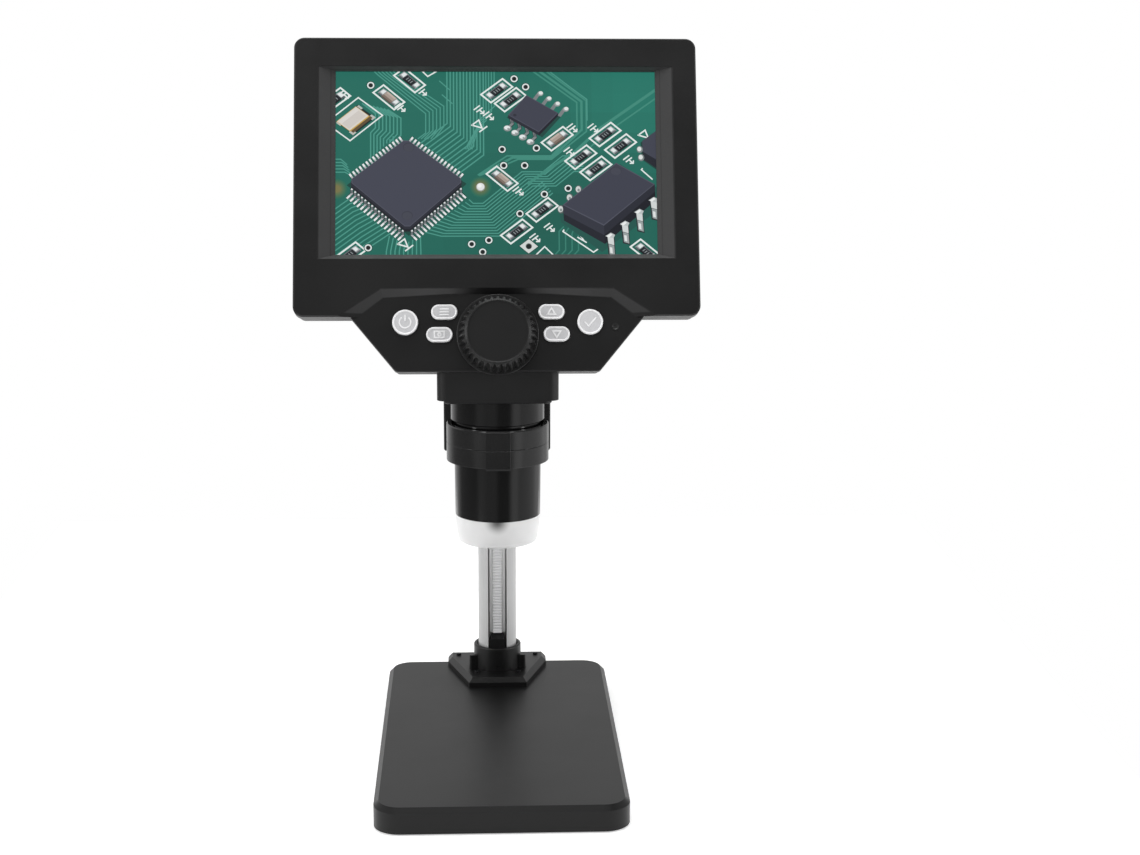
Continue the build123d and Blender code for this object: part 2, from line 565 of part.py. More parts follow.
neck_in = block(-NECK_HALF + WALL, NECK_HALF - WALL, NECK_FRONT + WALL, 37.0, NECK_STEP + 2.2, NECK_TOP - WALL)
fe = [e for e in neck_in.edges().filter_by(Axis.Z) if e.center().Y < NECK_FRONT + WALL + 1]
neck_in = fillet(fe, NECK_CORNER - WALL) + rod(NECK_BACK_R - WALL, NECK_STEP + 2.2, NECK_TOP - WALL, 0, LENS_Y)
envelope = HEAD * (up(main_outline(IN, 3.8), BACK_W, SPLIT_W) + up(trap_outline(IN, 1.8), BACK_W, SPLIT_W)
                   + up(main_outline(0, 5.0), SPLIT_W, 6) + up(trap_outline(0, 2.5), SPLIT_W, 6))
neck = neck_out - neck_in - envelope
neck = neck - rod(BARREL_BORE + 0.1, NECK_BOTTOM - 1, NECK_STEP + 3, 0, LENS_Y)
neck = neck - rod(20.5, NECK_BOTTOM - 1, NECK_BOTTOM + 3.0, 0, LENS_Y)
solids = sorted(neck.solids(), key=lambda s: -s.volume)
neck = solids[0]
nodes["neck_housing"] = neck
rear = (HEAD * rear) - neck_in
solids = sorted(rear.solids(), key=lambda s: -s.volume)
nodes["rear_cover"] = solids[0]

# --- display and electronics ----------------------------------------------
lcd = block(-82.7, 82.7, -50.2, 50.2, -5.5, -0.3)
nodes["lcd_panel"] = HEAD * lcd
board = block(-92, 58, -40, 34, -9.0, -7.4)
nodes["main_board"] = HEAD * board
nodes["battery"] = HEAD * fillet(block(-34, 34, -38, 14, -15.4, -9.6).edges(), 1.2)
ribbon = prism_x([(-47.0, -5.8), (-38.3, -5.8), (-38.3, -7.4), (-38.0, -7.4), (-38.0, -5.5), (-47.0, -5.5)], -10, 14)
nodes["display_ribbon"] = HEAD * ribbon
bb = prism([(-52, -61.5), (-52, -82), (-44, -90), (-11, -90), (-11, -64.2), (11, -64.2), (11, -90), (44, -90), (52, -82), (52, -61.5)], -7.0, -5.4)
nodes["button_board"] = HEAD * bb
sw = None
for name, (bu, bv, kind) in BUTTONS.items():
    s = block(bu - 3, bu + 3, bv - 3, bv + 3, -5.4, -4.4) + rod(1.7, -4.5, -3.9, bu, bv)
    sw = s if sw is None else sw + s
nodes["tact_switches"] = HEAD * sw

usb = block(-95.1, -89.6, 8.25, 15.75, -11.7, -9.0)
usb = usb - block(-95.2, -90.2, 8.6, 15.4, -11.4, -9.3) + block(-94.4, -90.0, 9.9, 14.1, -10.7, -10.1)
nodes["usb_inlet"] = HEAD * usb
slot = block(-93.0, -80.0, -26.9, -13.1, -10.9, -9.0) - block(-93.1, -81.5, -25.6, -14.4, -10.6, -9.4)
nodes["card_slot"] = HEAD * slot

hs = None
for hu, hv in HOUSE_SCREWS:
    s = rod(1.1, -9.0, 0.2, hu, hv) + rod(2.4, -10.6, -9.0, hu, hv)
    s = s - (Pos(hu, hv, -10.5) * Box(3.2, 0.6, 0.7)) - (Pos(hu, hv, -10.5) * Box(0.6, 3.2, 0.7))
    hs = s if hs is None else hs + s
nodes["housing_screws"] = HEAD * hs

lens_ind = rod(2.0, -0.8, 1.5, 55.9, -80.1) + rod(1.9, 1.4, 1.75, 55.9, -80.1) - (Pos(55.9, -80.1, 4.6) * Sphere(3.2))
lens_ind = lens_ind + rod(2.6, -0.8, 0.0, 55.9, -80.1)
nodes["indicator_lens"] = HEAD * lens_ind

# --- dimmer wheel ----------------------------------------------------------
wheel_face = Circle(DIM_R)
for i in range(24):
    wheel_face = wheel_face - Rot(0, 0, 15 * i) * Pos(DIM_R + 0.2, 0) * Circle(0.6)
wheel_face = wheel_face - Circle(1.5)
wheel = Pos(DIM_U, DIM_V, -13.0) * extrude(wheel_face, amount=3.0, dir=(0, 0, 1))
nodes["dimmer_wheel"] = HEAD * wheel
pot = block(DIM_U - 5.5, 93.0, DIM_V - 5.5, DIM_V + 5.5, -9.6, -6.6) + rod(1.45, -13.2, -9.5, DIM_U, DIM_V)
nodes["dimmer_pot"] = HEAD * pot

# --- buttons ---------------------------------------------------------------
for name, (bu, bv, kind) in BUTTONS.items():
    if kind == "pill":
        b = pill(PILL_W, PILL_H, -0.2, 2.7, bu, bv)
        b = fillet(b.faces().sort_by(Axis.Z)[-1].edges(), 0.35)
        b = b - pill(PILL_W - 1.5, PILL_H - 1.5, 2.45, 3.0, bu, bv)
        b = b + pill(PILL_W + 2.0, PILL_H + 2.0, -0.9, -0.1, bu, bv)
    else:
        b = rod(ROUND_D / 2, -0.2, 2.7, bu, bv)
        b = fillet(b.faces().sort_by(Axis.Z)[-1].edges(), 0.35)
        b = b - rod(ROUND_D / 2 - 0.75, 2.45, 3.0, bu, bv)
        b = b + rod(ROUND_D / 2 + 1.0, -0.9, -0.1, bu, bv)
    b = b + rod(1.6, -3.0, -0.8, bu, bv)
    nodes[name] = HEAD * b

# --- focus drive -----------------------------------------------------------
bushf = rod(3.5, -7.0, 1.4, 0, FOC_V) - rod(1.56, -8, 2, 0, FOC_V)
nodes["focus_bush"] = HEAD * bushf
nodes["focus_shaft"] = HEAD * chamfer(rod(1.5, -FOC_S - 3.2, 9.0, 0, FOC_V).edges(), 0.2)
fg = prism(gear_points(FOC_TEETH, 0.0), -FOC_S - 2.0, -FOC_S + 2.0) - rod(1.5, -20, 0)
nodes["focus_pinion"] = HEAD * (Pos(0, FOC_V, 0) * fg)

kp = [(0, 1.9), (KNOB_R - 0.3, 1.9), (KNOB_R, 2.2), (KNOB_R, 3.1), (KNOB_R - 0.4, 3.5), (18.75, 3.5), (16.6, 11.2), (15.8, 12.0),
      (15.2, 12.1), (15.05, KNOB_TOP_W), (14.45, KNOB_TOP_W), (14.2, 12.0), (0, 12.0)]
knob = spun(kp)
knob = knob - rod(1.5, 1.0, 9.0)
tilt = math.degrees(math.atan2(18.75 - 16.6, 11.2 - 3.5))
groove = None
cutters = []
for i in range(KNOB_RIBS):
    c = Rot(0, 0, 360.0 * i / KNOB_RIBS) * (Pos(18.28, 0, 7.6) * Rot(0, -tilt, 0) * Cylinder(0.95, 6.6))
    cutters.append(c)
knob = knob - cutters
nodes["focus_knob"] = HEAD * (Pos(0, FOC_V, 0) * knob)

# ===========================================================================
# Head: barrel and optics
# ===========================================================================
collar = rod(COLLAR_R, COLLAR_BOTTOM, NECK_BOTTOM, 0, LENS_Y)
collar = chamfer(collar.faces().sort_by(Axis.Z)[0].edges(), 0.4)
collar = collar + rod(20.4, NECK_BOTTOM - 0.5, NECK_BOTTOM + 2.8, 0, LENS_Y)
collar = collar - rod(19.6, COLLAR_BOTTOM - 1, 166.0, 0, LENS_Y) - rod(BARREL_BORE, 165, NECK_BOTTOM + 4, 0, LENS_Y)
nodes["barrel_collar"] = collar

prof = [(BARREL_BORE, 166.0), (19.55, 166.0), (19.55, COLLAR_BOTTOM), (BARREL_R, COLLAR_BOTTOM), (BARREL_R, 133.0),
        (BARREL_R_END, BARREL_BOTTOM), (BARREL_BORE, BARREL_BOTTOM)]
nodes["lower_barrel"] = spun(prof, 0, LENS_Y)

dprof = [(20.75, BARREL_BOTTOM), (20.7, 106.8), (20.45, 104.2), (20.1, 102.0), (19.78, 100.3), (19.6, 99.3), (19.42, 99.1), (19.34, 97.9),
         (19.05, 97.35), (18.4, DIFF_BOTTOM), (11.5, DIFF_BOTTOM), (11.5, 98.3), (17.2, 98.3), (17.9, 99.2), (18.35, 101.0), (18.9, 104.2),
         (19.2, 106.8), (19.3, BARREL_BOTTOM)]
nodes["diffuser"] = spun(dprof, 0, LENS_Y)

nodes["led_board"] = rod(BARREL_BORE - 0.02, BARREL_BOTTOM, BARREL_BOTTOM + 1.5, 0, LENS_Y) - rod(9.5, 100, 120, 0, LENS_Y)
leds = None
for i in range(8):
    a = math.radians(22.5 + 45 * i)
    b = Pos(14 * math.cos(a), LENS_Y + 14 * math.sin(a), BARREL_BOTTOM - 0.4) * Rot(0, 0, math.degrees(a)) * Box(2.8, 3.5, 0.8)
    leds = b if leds is None else leds + b
nodes["leds"] = leds

nodes["sensor_board"] = block(-13, 13, 28.7, 47.5, 160.5, 162.0)
nodes["image_sensor"] = block(-5, 5, 30.8, 40.2, 159.0, 160.5) + block(-3.6, 3.6, 32.6, 38.4, 158.6, 159.1)

# --- sliding lens unit -----------------------------------------------------
tube = rod(BARREL_BORE - 0.08, 119.5, 139.0, 0, LENS_Y)
tube = tube - rod(16.6, 122.5, 137.0, 0, LENS_Y) - rod(9.0, 119, 123, 0, LENS_Y) - rod(10.5, 136, 140, 0, LENS_Y)
nodes["lens_tube"] = tube
bead = rod(9.0, 119.9, 122.4, 0, LENS_Y)
bead = bead & (Pos(0, LENS_Y, 119.9 + 17.0) * Sphere(17.3))
nodes["front_lens"] = bead

# vertical rack bar whose teeth lie along the leaning axis of the focus pinion
bar = block(FOC_PITCH_R - 0.9 * MODULE, 7.3, FOC_BAR_Y0, FOC_BAR_Y1, 139.0, 208.5)
tip = FOC_PITCH_R - 0.9 * MODULE
root = tip + 2.1 * MODULE
ev0, ev1 = -104.0, -74.0
gaps = rack_profile(FOC_V, ev0, ev1, tip, root, 1)
gap_pts = [(tip - 1.0, ev0)] + [(x, v) for x, v in gaps] + [(tip - 1.0, ev1)]
cutter = prism(gap_pts, -40, 10)
bar = bar - (HEAD * cutter)
# below the teeth the bar is thinner, clear of the pinion side
foot = block(tip - 0.2, root + 0.2, FOC_BAR_Y0 - 0.1, FOC_BAR_Y1 + 0.1, 139.5, 181.0)
bar = bar - foot
solids = sorted(bar.solids(), key=lambda s: -s.volume)
nodes["focus_rack"] = solids[0]

# ===========================================================================
for name, shape in nodes.items():
    if isinstance(shape, (list, tuple)):
        shape = Compound(children=list(shape))
    export_step(shape, f"parts/{name}.step")
print(len(nodes), "nodes")
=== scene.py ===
import bpy, bmesh, math, random
import numpy as np
from mathutils import Vector, Matrix


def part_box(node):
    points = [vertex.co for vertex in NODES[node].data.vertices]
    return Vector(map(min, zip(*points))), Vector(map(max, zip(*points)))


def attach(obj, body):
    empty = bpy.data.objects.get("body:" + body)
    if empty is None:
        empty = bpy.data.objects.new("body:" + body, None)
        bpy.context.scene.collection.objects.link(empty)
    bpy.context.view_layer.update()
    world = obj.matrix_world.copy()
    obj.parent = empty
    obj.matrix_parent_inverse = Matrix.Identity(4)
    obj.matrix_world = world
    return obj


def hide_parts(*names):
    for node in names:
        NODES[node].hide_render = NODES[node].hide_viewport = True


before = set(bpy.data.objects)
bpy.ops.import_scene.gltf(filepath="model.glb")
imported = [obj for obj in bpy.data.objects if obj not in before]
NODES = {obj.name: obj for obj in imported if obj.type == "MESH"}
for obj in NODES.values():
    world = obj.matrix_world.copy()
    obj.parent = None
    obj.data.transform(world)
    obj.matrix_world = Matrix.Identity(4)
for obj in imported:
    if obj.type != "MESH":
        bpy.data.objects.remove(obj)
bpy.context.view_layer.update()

SC = bpy.context.scene

# ---------------------------------------------------------------------------
# The leaning frame of the screen housing: u right, v up the face, w out of it
# ---------------------------------------------------------------------------
LEAN = math.radians(19.12)
CS, SN = math.cos(LEAN), math.sin(LEAN)
SCR_Y, SCR_Z = 42.8, 281.4
HEADM = Matrix(((1, 0, 0, 0), (0, SN, -CS, SCR_Y * 0.001), (0, CS, SN, SCR_Z * 0.001), (0, 0, 0, 1))) @ Matrix.Scale(0.001, 4)
WORLDM = Matrix.Scale(0.001, 4)


# ---------------------------------------------------------------------------
# Materials
# ---------------------------------------------------------------------------
def lin(c):
    """sRGB 0..255 to linear."""
    c = c / 255.0
    return c / 12.92 if c <= 0.04045 else ((c + 0.055) / 1.055) ** 2.4


def rgb(r, g, b):
    return (lin(r), lin(g), lin(b), 1.0)


class Mat:
    def __init__(self, name):
        self.m = bpy.data.materials.new(name)
        self.m.use_nodes = True
        self.nt = self.m.node_tree
        self.nt.nodes.clear()
        self.out = self.nt.nodes.new("ShaderNodeOutputMaterial")
        self.b = self.nt.nodes.new("ShaderNodeBsdfPrincipled")
        self.link(self.b.outputs[0], self.out.inputs[0])
        self.tc = self.nt.nodes.new("ShaderNodeTexCoord")

    def link(self, a, b):
        self.nt.links.new(a, b)

    def node(self, kind, **kw):
        n = self.nt.nodes.new(kind)
        for k, v in kw.items():
            if isinstance(v, (int, float, tuple, str, bool)) and hasattr(n, k):
                setattr(n, k, v)
        return n

    def set(self, **kw):
        names = {"rough": "Roughness", "metal": "Metallic", "coat": "Coat Weight", "coat_rough": "Coat Roughness", "spec": "Specular IOR Level",
                 "ior": "IOR", "trans": "Transmission Weight", "sss": "Subsurface Weight", "sheen": "Sheen Weight", "aniso": "Anisotropic",
                 "emit": "Emission Strength", "alpha": "Alpha", "sss_scale": "Subsurface Scale"}
        for k, v in kw.items():
            self.b.inputs[names[k]].default_value = v
        return self

    def colour(self, col):
        self.b.inputs["Base Color"].default_value = col
        return self

    def coord(self, scale=(1, 1, 1)):
        mp = self.node("ShaderNodeMapping")
        mp.inputs["Scale"].default_value = scale
        self.link(self.tc.outputs["Object"], mp.inputs["Vector"])
        return mp.outputs["Vector"]

    def noise(self, scale, detail=4.0, rough=0.5, stretch=(1, 1, 1), distortion=0.0):
        n = self.node("ShaderNodeTexNoise")
        n.inputs["Scale"].default_value = scale
        n.inputs["Detail"].default_value = detail
        n.inputs["Roughness"].default_value = rough
        n.inputs["Distortion"].default_value = distortion
        self.link(self.coord(stretch), n.inputs["Vector"])
        return n.outputs["Fac"]

    def voronoi(self, scale, stretch=(1, 1, 1)):
        n = self.node("ShaderNodeTexVoronoi")
        n.inputs["Scale"].default_value = scale
        self.link(self.coord(stretch), n.inputs["Vector"])
        return n.outputs["Distance"]

    def ramp(self, fac, lo, hi, a, b):
        """Maps fac from lo..hi to a..b."""
        r = self.node("ShaderNodeMapRange")
        r.inputs["From Min"].default_value = lo
        r.inputs["From Max"].default_value = hi
        r.inputs["To Min"].default_value = a
        r.inputs["To Max"].default_value = b
        self.link(fac, r.inputs["Value"])
        return r.outputs["Result"]

    def math(self, op, a, b):
        n = self.node("ShaderNodeMath")
        n.operation = op
        for i, x in enumerate((a, b)):
            if isinstance(x, (int, float)):
                n.inputs[i].default_value = x
            else:
                self.link(x, n.inputs[i])
        return n.outputs[0]

    def mix_colour(self, fac, a, b):
        n = self.node("ShaderNodeMix")
        n.data_type = "RGBA"
        if isinstance(fac, (int, float)):
            n.inputs[0].default_value = fac
        else:
            self.link(fac, n.inputs[0])
        for i, x in ((6, a), (7, b)):
            if isinstance(x, tuple):
                n.inputs[i].default_value = x
            else:
                self.link(x, n.inputs[i])
        return n.outputs[2]

    def to(self, socket, value):
        self.link(value, self.b.inputs[socket])
        return self

    def bump(self, height, strength, distance, after=None):
        n = self.node("ShaderNodeBump")
        n.inputs["Strength"].default_value = strength
        n.inputs["Distance"].default_value = distance
        self.link(height, n.inputs["Height"])
        if after is not None:
            self.link(after, n.inputs["Normal"])
        self.link(n.outputs[0], self.b.inputs["Normal"])
        return n.outputs[0]


def shade(c, k):
    return (c[0] * k, c[1] * k, c[2] * k, 1.0)


def moulded(name, col, rough, grain=1800.0, depth=0.00002, strength=0.25, tone=0.10, rough_var=0.05, spec=0.5, coat=0.0, coat_rough=0.1,
            wear=0.0, scuffs=0.0):
    """Injection-moulded plastic: fine spark-eroded grain, slow tone drift, faint handling marks."""
    m = Mat(name)
    m.set(spec=spec, coat=coat, coat_rough=coat_rough)
    slow = m.noise(38.0, 3.0)
    fine = m.noise(grain, 2.0, 0.6)
    c = m.mix_colour(m.ramp(slow, 0.3, 0.7, 0.0, 1.0), shade(col, 1.0 - tone), shade(col, 1.0 + tone))
    c2 = m.mix_colour(m.ramp(fine, 0.35, 0.7, 0.0, 0.35), c, shade(col, 1.35))
    m.to("Base Color", c2)
    r = m.ramp(slow, 0.3, 0.7, rough - rough_var, rough + rough_var)
    if scuffs:
        streak = m.noise(900.0, 2.0, 0.5, (1.0, 1.0, 0.06))
        r = m.math("ADD", r, m.ramp(streak, 0.55, 0.75, 0.0, scuffs))
    m.to("Roughness", r)
    pits = m.voronoi(grain * 0.8)
    h = m.math("ADD", fine, m.math("MULTIPLY", pits, 0.5))
    m.bump(h, strength, depth)
    return m.m


def bezel_black():
    """The front of the housing, with painted light: the sloping walls round the picture and the control panel are
    painted a shade greyer as a painted reflection, greyer still at the picture's sides, a little darker round the
    control panel, and darker just above the knob as a painted shadow.
    """
    m = Mat("bezel_black")
    m.set(spec=0.42)
    slow = m.noise(38.0, 3.0)
    fine = m.noise(1500.0, 2.0, 0.6)

    def along(axis, origin):
        n = m.node("ShaderNodeVectorMath")
        n.operation = "SUBTRACT"
        m.link(m.tc.outputs["Object"], n.inputs[0])
        n.inputs[1].default_value = origin
        d = m.node("ShaderNodeVectorMath")
        d.operation = "DOT_PRODUCT"
        m.link(n.outputs["Vector"], d.inputs[0])
        d.inputs[1].default_value = axis
        return d.outputs["Value"]

    o = (0.0, SCR_Y * 0.001, SCR_Z * 0.001)
    u, v, w = along((1, 0, 0), o), along((0, SN, CS), o), along((0, -CS, SN), o)

    def between(x, lo, hi, soft):
        return m.math("MULTIPLY", m.ramp(x, lo - soft, lo + soft, 0.0, 1.0), m.ramp(x, hi - soft, hi + soft, 1.0, 0.0))

    # painted reflection: the sloping walls of both recesses take a greyer colour than the face
    painted_wall_light = m.math("MULTIPLY", between(w, 0.00170, 0.00372, 0.00012), m.math("MULTIPLY", between(u, -0.0885, 0.0885, 0.0003), between(v, -0.0735, 0.0555, 0.0003)))
    au = m.math("ABSOLUTE", u, 0.0)
    # painted shadow of the knob: the wall just above it keeps only a little of that greyer colour
    painted_wall_light = m.math("MULTIPLY", painted_wall_light, m.math("MAXIMUM", m.ramp(au, 0.010, 0.024, 0.15, 1.0), m.ramp(v, -0.060, -0.058, 0.0, 1.0)))
    painted_well_light = m.math("MULTIPLY", between(w, -0.0010, 0.00160, 0.0002), m.math("MULTIPLY", between(u, -0.0865, 0.0865, 0.0003), between(v, -0.0540, 0.0540, 0.0003)))
    # painted light: paler still at the picture's side walls, darker round the control panel
    sides = m.math("ADD", m.math("MULTIPLY", m.ramp(au, 0.0765, 0.0768, 0.0, 1.0), m.ramp(v, -0.0555, -0.0550, 0.0, 1.0)), m.ramp(v, -0.060, -0.058, -0.75, 0.0))
    mask = m.math("MULTIPLY", m.math("MAXIMUM", painted_wall_light, painted_well_light), m.math("ADD", m.math("MULTIPLY", sides, 0.28), 1.0))
    c = m.mix_colour(m.ramp(slow, 0.3, 0.7, 0.0, 1.0), (0.0032, 0.0032, 0.0033, 1.0), (0.0039, 0.0039, 0.0040, 1.0))
    c = m.mix_colour(m.ramp(fine, 0.35, 0.7, 0.0, 0.35), c, (0.0050, 0.0050, 0.0051, 1.0))
    m.to("Base Color", m.mix_colour(mask, c, (0.034, 0.034, 0.0345, 1.0)))
    m.to("Roughness", m.ramp(slow, 0.3, 0.7, 0.40, 0.47))
    pits = m.voronoi(1200.0)
    m.bump(m.math("ADD", fine, m.math("MULTIPLY", pits, 0.5)), 0.3, 0.00003)
    return m.m


def metal(name, col, rough, brush=(1, 1, 0.02), scale=1500.0, strength=0.15, metallic=1.0, aniso=0.0, tone=0.08):
    m = Mat(name)
    m.set(metal=metallic, aniso=aniso)
    streak = m.noise(scale, 3.0, 0.6, brush)
    slow = m.noise(60.0, 2.0)
    m.to("Base Color", m.mix_colour(m.ramp(streak, 0.35, 0.65, 0.0, 1.0), shade(col, 1.0 - tone), shade(col, 1.0 + tone * 0.4)))
    m.to("Roughness", m.math("ADD", m.ramp(streak, 0.3, 0.7, rough - 0.05, rough + 0.07), m.ramp(slow, 0.3, 0.7, -0.02, 0.03)))
    m.bump(streak, strength, 0.00001)
    return m.m


def ring_black():
    """The clamp ring: satin black with painted highlights, its parting line, top and bottom edges and the tab's edge
    painted paler than its faces.
    """
    m = Mat("ring_black")
    m.set(spec=0.48)
    slow = m.noise(38.0, 3.0)
    fine = m.noise(2000.0, 2.0, 0.6)
    sep = m.node("ShaderNodeSeparateXYZ")
    m.link(m.tc.outputs["Object"], sep.inputs[0])
    x, y, z = sep.outputs[0], sep.outputs[1], sep.outputs[2]

    def line(v, at, half, soft, k):
        d = m.math("ABSOLUTE", m.math("SUBTRACT", v, at), 0.0)
        return m.ramp(d, half, half + soft, k, 0.0)

    front = m.ramp(y, 0.0105, 0.0112, 1.0, 0.0)
    # painted highlights: pale lines on the parting line, the top and bottom edges and the tab's edge
    pale = m.math("MAXIMUM", line(z, 0.14690, 0.00016, 0.00012, 0.30), m.ramp(z, 0.15560, 0.15585, 0.0, 0.62))
    pale = m.math("MAXIMUM", pale, m.ramp(z, 0.13822, 0.13835, 0.30, 0.0))
    pale = m.math("MAXIMUM", pale, m.math("MULTIPLY", front, line(x, 0.00590, 0.00012, 0.00012, 0.62)))
    c = m.mix_colour(m.ramp(slow, 0.3, 0.7, 0.0, 1.0), (0.0058, 0.0058, 0.0059, 1.0), (0.0072, 0.0072, 0.0073, 1.0))
    c = m.mix_colour(m.ramp(fine, 0.35, 0.7, 0.0, 0.35), c, (0.0090, 0.0090, 0.0091, 1.0))
    m.to("Base Color", m.mix_colour(pale, c, (0.050, 0.050, 0.050, 1.0)))
    m.to("Roughness", m.ramp(slow, 0.3, 0.7, 0.17, 0.22))
    m.bump(m.math("ADD", fine, m.math("MULTIPLY", m.voronoi(1600.0), 0.5)), 0.08, 0.00001)
    return m.m


def column_alu():
    """Satin anodised column: drawn lines along it, a channel painted pale and less metallic as painted light, with
    painted shade in its corners that darkens towards its foot.
    """
    m = Mat("column_aluminium")
    streak = m.noise(1500.0, 3.0, 0.6, (1, 1, 0.02))
    slow = m.noise(60.0, 2.0)
    sep = m.node("ShaderNodeSeparateXYZ")
    m.link(m.tc.outputs["Object"], sep.inputs[0])
    x, y, z = sep.outputs[0], sep.outputs[1], sep.outputs[2]
    ax = m.math("ABSOLUTE", x, 0.0)
    inside = m.math("MULTIPLY", m.ramp(ax, 0.00478, 0.00482, 1.0, 0.0), m.ramp(y, 0.0774, 0.0776, 1.0, 0.0))
    c = m.mix_colour(m.ramp(streak, 0.35, 0.65, 0.0, 1.0), rgb(187, 187, 187), rgb(194, 194, 194))
    # painted light: the channel is painted almost white, and below made less metallic, so that it reads as lit
    c = m.mix_colour(inside, c, rgb(249, 249, 248))
    m.to("Metallic", m.ramp(inside, 0.0, 1.0, 0.22, 0.0))
    # painted shade: the channel's corners are painted dark, darkest towards the foot
    corner = m.math("MULTIPLY", inside, m.ramp(ax, 0.00395, 0.00430, 0.0, 1.0))
    painted_corner_shade = m.math("MULTIPLY", corner, m.ramp(z, 0.040, 0.100, 0.85, 0.10))
    m.to("Base Color", m.mix_colour(painted_corner_shade, c, rgb(60, 60, 60)))
    m.to("Roughness", m.math("ADD", m.ramp(streak, 0.3, 0.7, 0.36, 0.46), m.ramp(slow, 0.3, 0.7, -0.02, 0.03)))
    m.bump(streak, 0.15, 0.00001)
    return m.m


M = {}
M["housing"] = moulded("housing_black", (0.0035, 0.0035, 0.0036, 1.0), 0.44, 1500.0, 0.00003, 0.3, spec=0.42)
M["bezel"] = bezel_black()
M["base"] = moulded("base_black", (0.0050, 0.0050, 0.0051, 1.0), 0.37, 1250.0, 0.00003, 0.35, tone=0.05, rough_var=0.012, spec=0.24)
M["socket"] = moulded("socket_black", (0.0038, 0.0038, 0.0039, 1.0), 0.40, 1300.0, 0.00003, 0.3, tone=0.06, rough_var=0.03, spec=0.38)
M["gloss"] = moulded("barrel_black", (0.0030, 0.0030, 0.0031, 1.0), 0.13, 2500.0, 0.00001, 0.04, rough_var=0.02, spec=0.36)
M["ring"] = ring_black()
M["knob"] = moulded("knob_black", (0.0075, 0.0075, 0.0076, 1.0), 0.34, 2000.0, 0.00002, 0.15, spec=0.5)
M["alu"] = column_alu()
M["rack"] = metal("rack_steel", rgb(240, 240, 241), 0.34, (1, 1, 1), 900.0, 0.03, metallic=0.2, tone=0.015)
M["flange"] = metal("rack_flange_steel", rgb(246, 246, 246), 0.36, (1, 1, 0.02), 900.0, 0.05, metallic=0.05, tone=0.03)
M["steel"] = metal("steel", rgb(170, 170, 172), 0.35, (1, 1, 1), 900.0)
M["screw"] = metal("screw_black", rgb(40, 40, 42), 0.4, (1, 1, 1), 1200.0, metallic=0.8)
M["brass"] = metal("brass", rgb(205, 170, 95), 0.3, (1, 1, 1), 900.0)
M["acetal"] = moulded("acetal_white", rgb(225, 222, 212), 0.4)
# painted light and shade: paler grey for the caps' rims and signs, a darker copy for their sunken faces
M["button"] = moulded("button_grey", rgb(238, 238, 239), 0.36, 2500.0, 0.00001, 0.08, tone=0.03)
M["button_face"] = moulded("button_face_painted_shade", rgb(200, 200, 202), 0.40, 2500.0, 0.00001, 0.08, tone=0.03)
M["rubber"] = moulded("rubber_black", rgb(24, 24, 24), 0.8, 1100.0, 0.00005, 0.5)
M["pcb"] = moulded("board_green", rgb(24, 92, 52), 0.4)
M["foil"] = metal("battery_foil", rgb(180, 182, 188), 0.35, (1, 1, 1), 500.0)
M["amber"] = moulded("ribbon_amber", rgb(190, 110, 30), 0.35)
M["yellow"] = moulded("led_yellow", rgb(240, 225, 120), 0.3)


def knob_black():
    m = Mat("focus_knob_black")
    m.set(spec=0.30)
    slow = m.noise(38.0, 3.0)
    fine = m.noise(2000.0, 2.0, 0.6)
    d = m.node("ShaderNodeVectorMath")
    d.operation = "DOT_PRODUCT"
    sub = m.node("ShaderNodeVectorMath")
    sub.operation = "SUBTRACT"
    m.link(m.tc.outputs["Object"], sub.inputs[0])
    sub.inputs[1].default_value = (0.0, SCR_Y * 0.001, SCR_Z * 0.001)
    m.link(sub.outputs["Vector"], d.inputs[0])
    d.inputs[1].default_value = (0, -CS, SN)
    face = m.ramp(d.outputs["Value"], 0.01170, 0.01198, 0.0, 1.0)
    c = m.mix_colour(m.ramp(slow, 0.3, 0.7, 0.0, 1.0), (0.0088, 0.0088, 0.0089, 1.0), (0.0100, 0.0100, 0.0101, 1.0))
    c = m.mix_colour(m.ramp(fine, 0.35, 0.7, 0.0, 0.35), c, (0.0120, 0.0120, 0.0121, 1.0))
    m.to("Base Color", m.mix_colour(face, c, (0.0128, 0.0128, 0.0129, 1.0)))
    m.to("Roughness", m.ramp(slow, 0.3, 0.7, 0.34, 0.40))
    m.bump(m.math("ADD", fine, m.math("MULTIPLY", m.voronoi(1600.0), 0.5)), 0.12, 0.00002)
    return m.m


M["focus_knob"] = knob_black()


def white_diffuser():
    m = Mat("diffuser_white")
    m.set(rough=0.32, sss=0.25, sss_scale=0.002, trans=0.0, spec=0.40)
    m.b.inputs["Subsurface Radius"].default_value = (1.0, 1.0, 1.0)
    slow = m.noise(90.0, 2.0)
    c = m.mix_colour(m.ramp(slow, 0.35, 0.65, 0.0, 1.0), rgb(227, 227, 227), rgb(232, 232, 232))
    # painted shade: a dark spot painted on the front of the translucent cup stands in for the objective's shadow
    # showing through it
    n = m.node("ShaderNodeVectorMath")
    n.operation = "DISTANCE"
    m.link(m.tc.outputs["Object"], n.inputs[0])
    n.inputs[1].default_value = (-0.0005, 0.0146, 0.1108)
    r = m.node("ShaderNodeMapRange")
    r.interpolation_type = "SMOOTHSTEP"
    for k, val in (("From Min", 0.0), ("From Max", 0.0074), ("To Min", 0.95), ("To Max", 0.0)):
        r.inputs[k].default_value = val
    m.link(n.outputs["Value"], r.inputs["Value"])
    c = m.mix_colour(r.outputs["Result"], c, rgb(62, 62, 62))
    m.to("Base Color", c)
    m.bump(m.noise(700.0, 2.0), 0.05, 0.00002)
    return m.m


M["diffuser"] = white_diffuser()


def glass(name, tint, rough=0.02):
    m = Mat(name)
    m.set(rough=rough, trans=1.0, ior=1.5)
    n = m.noise(400.0, 2.0)
    m.to("Base Color", m.mix_colour(n, tint, shade(tint, 0.97)))
    return m.m


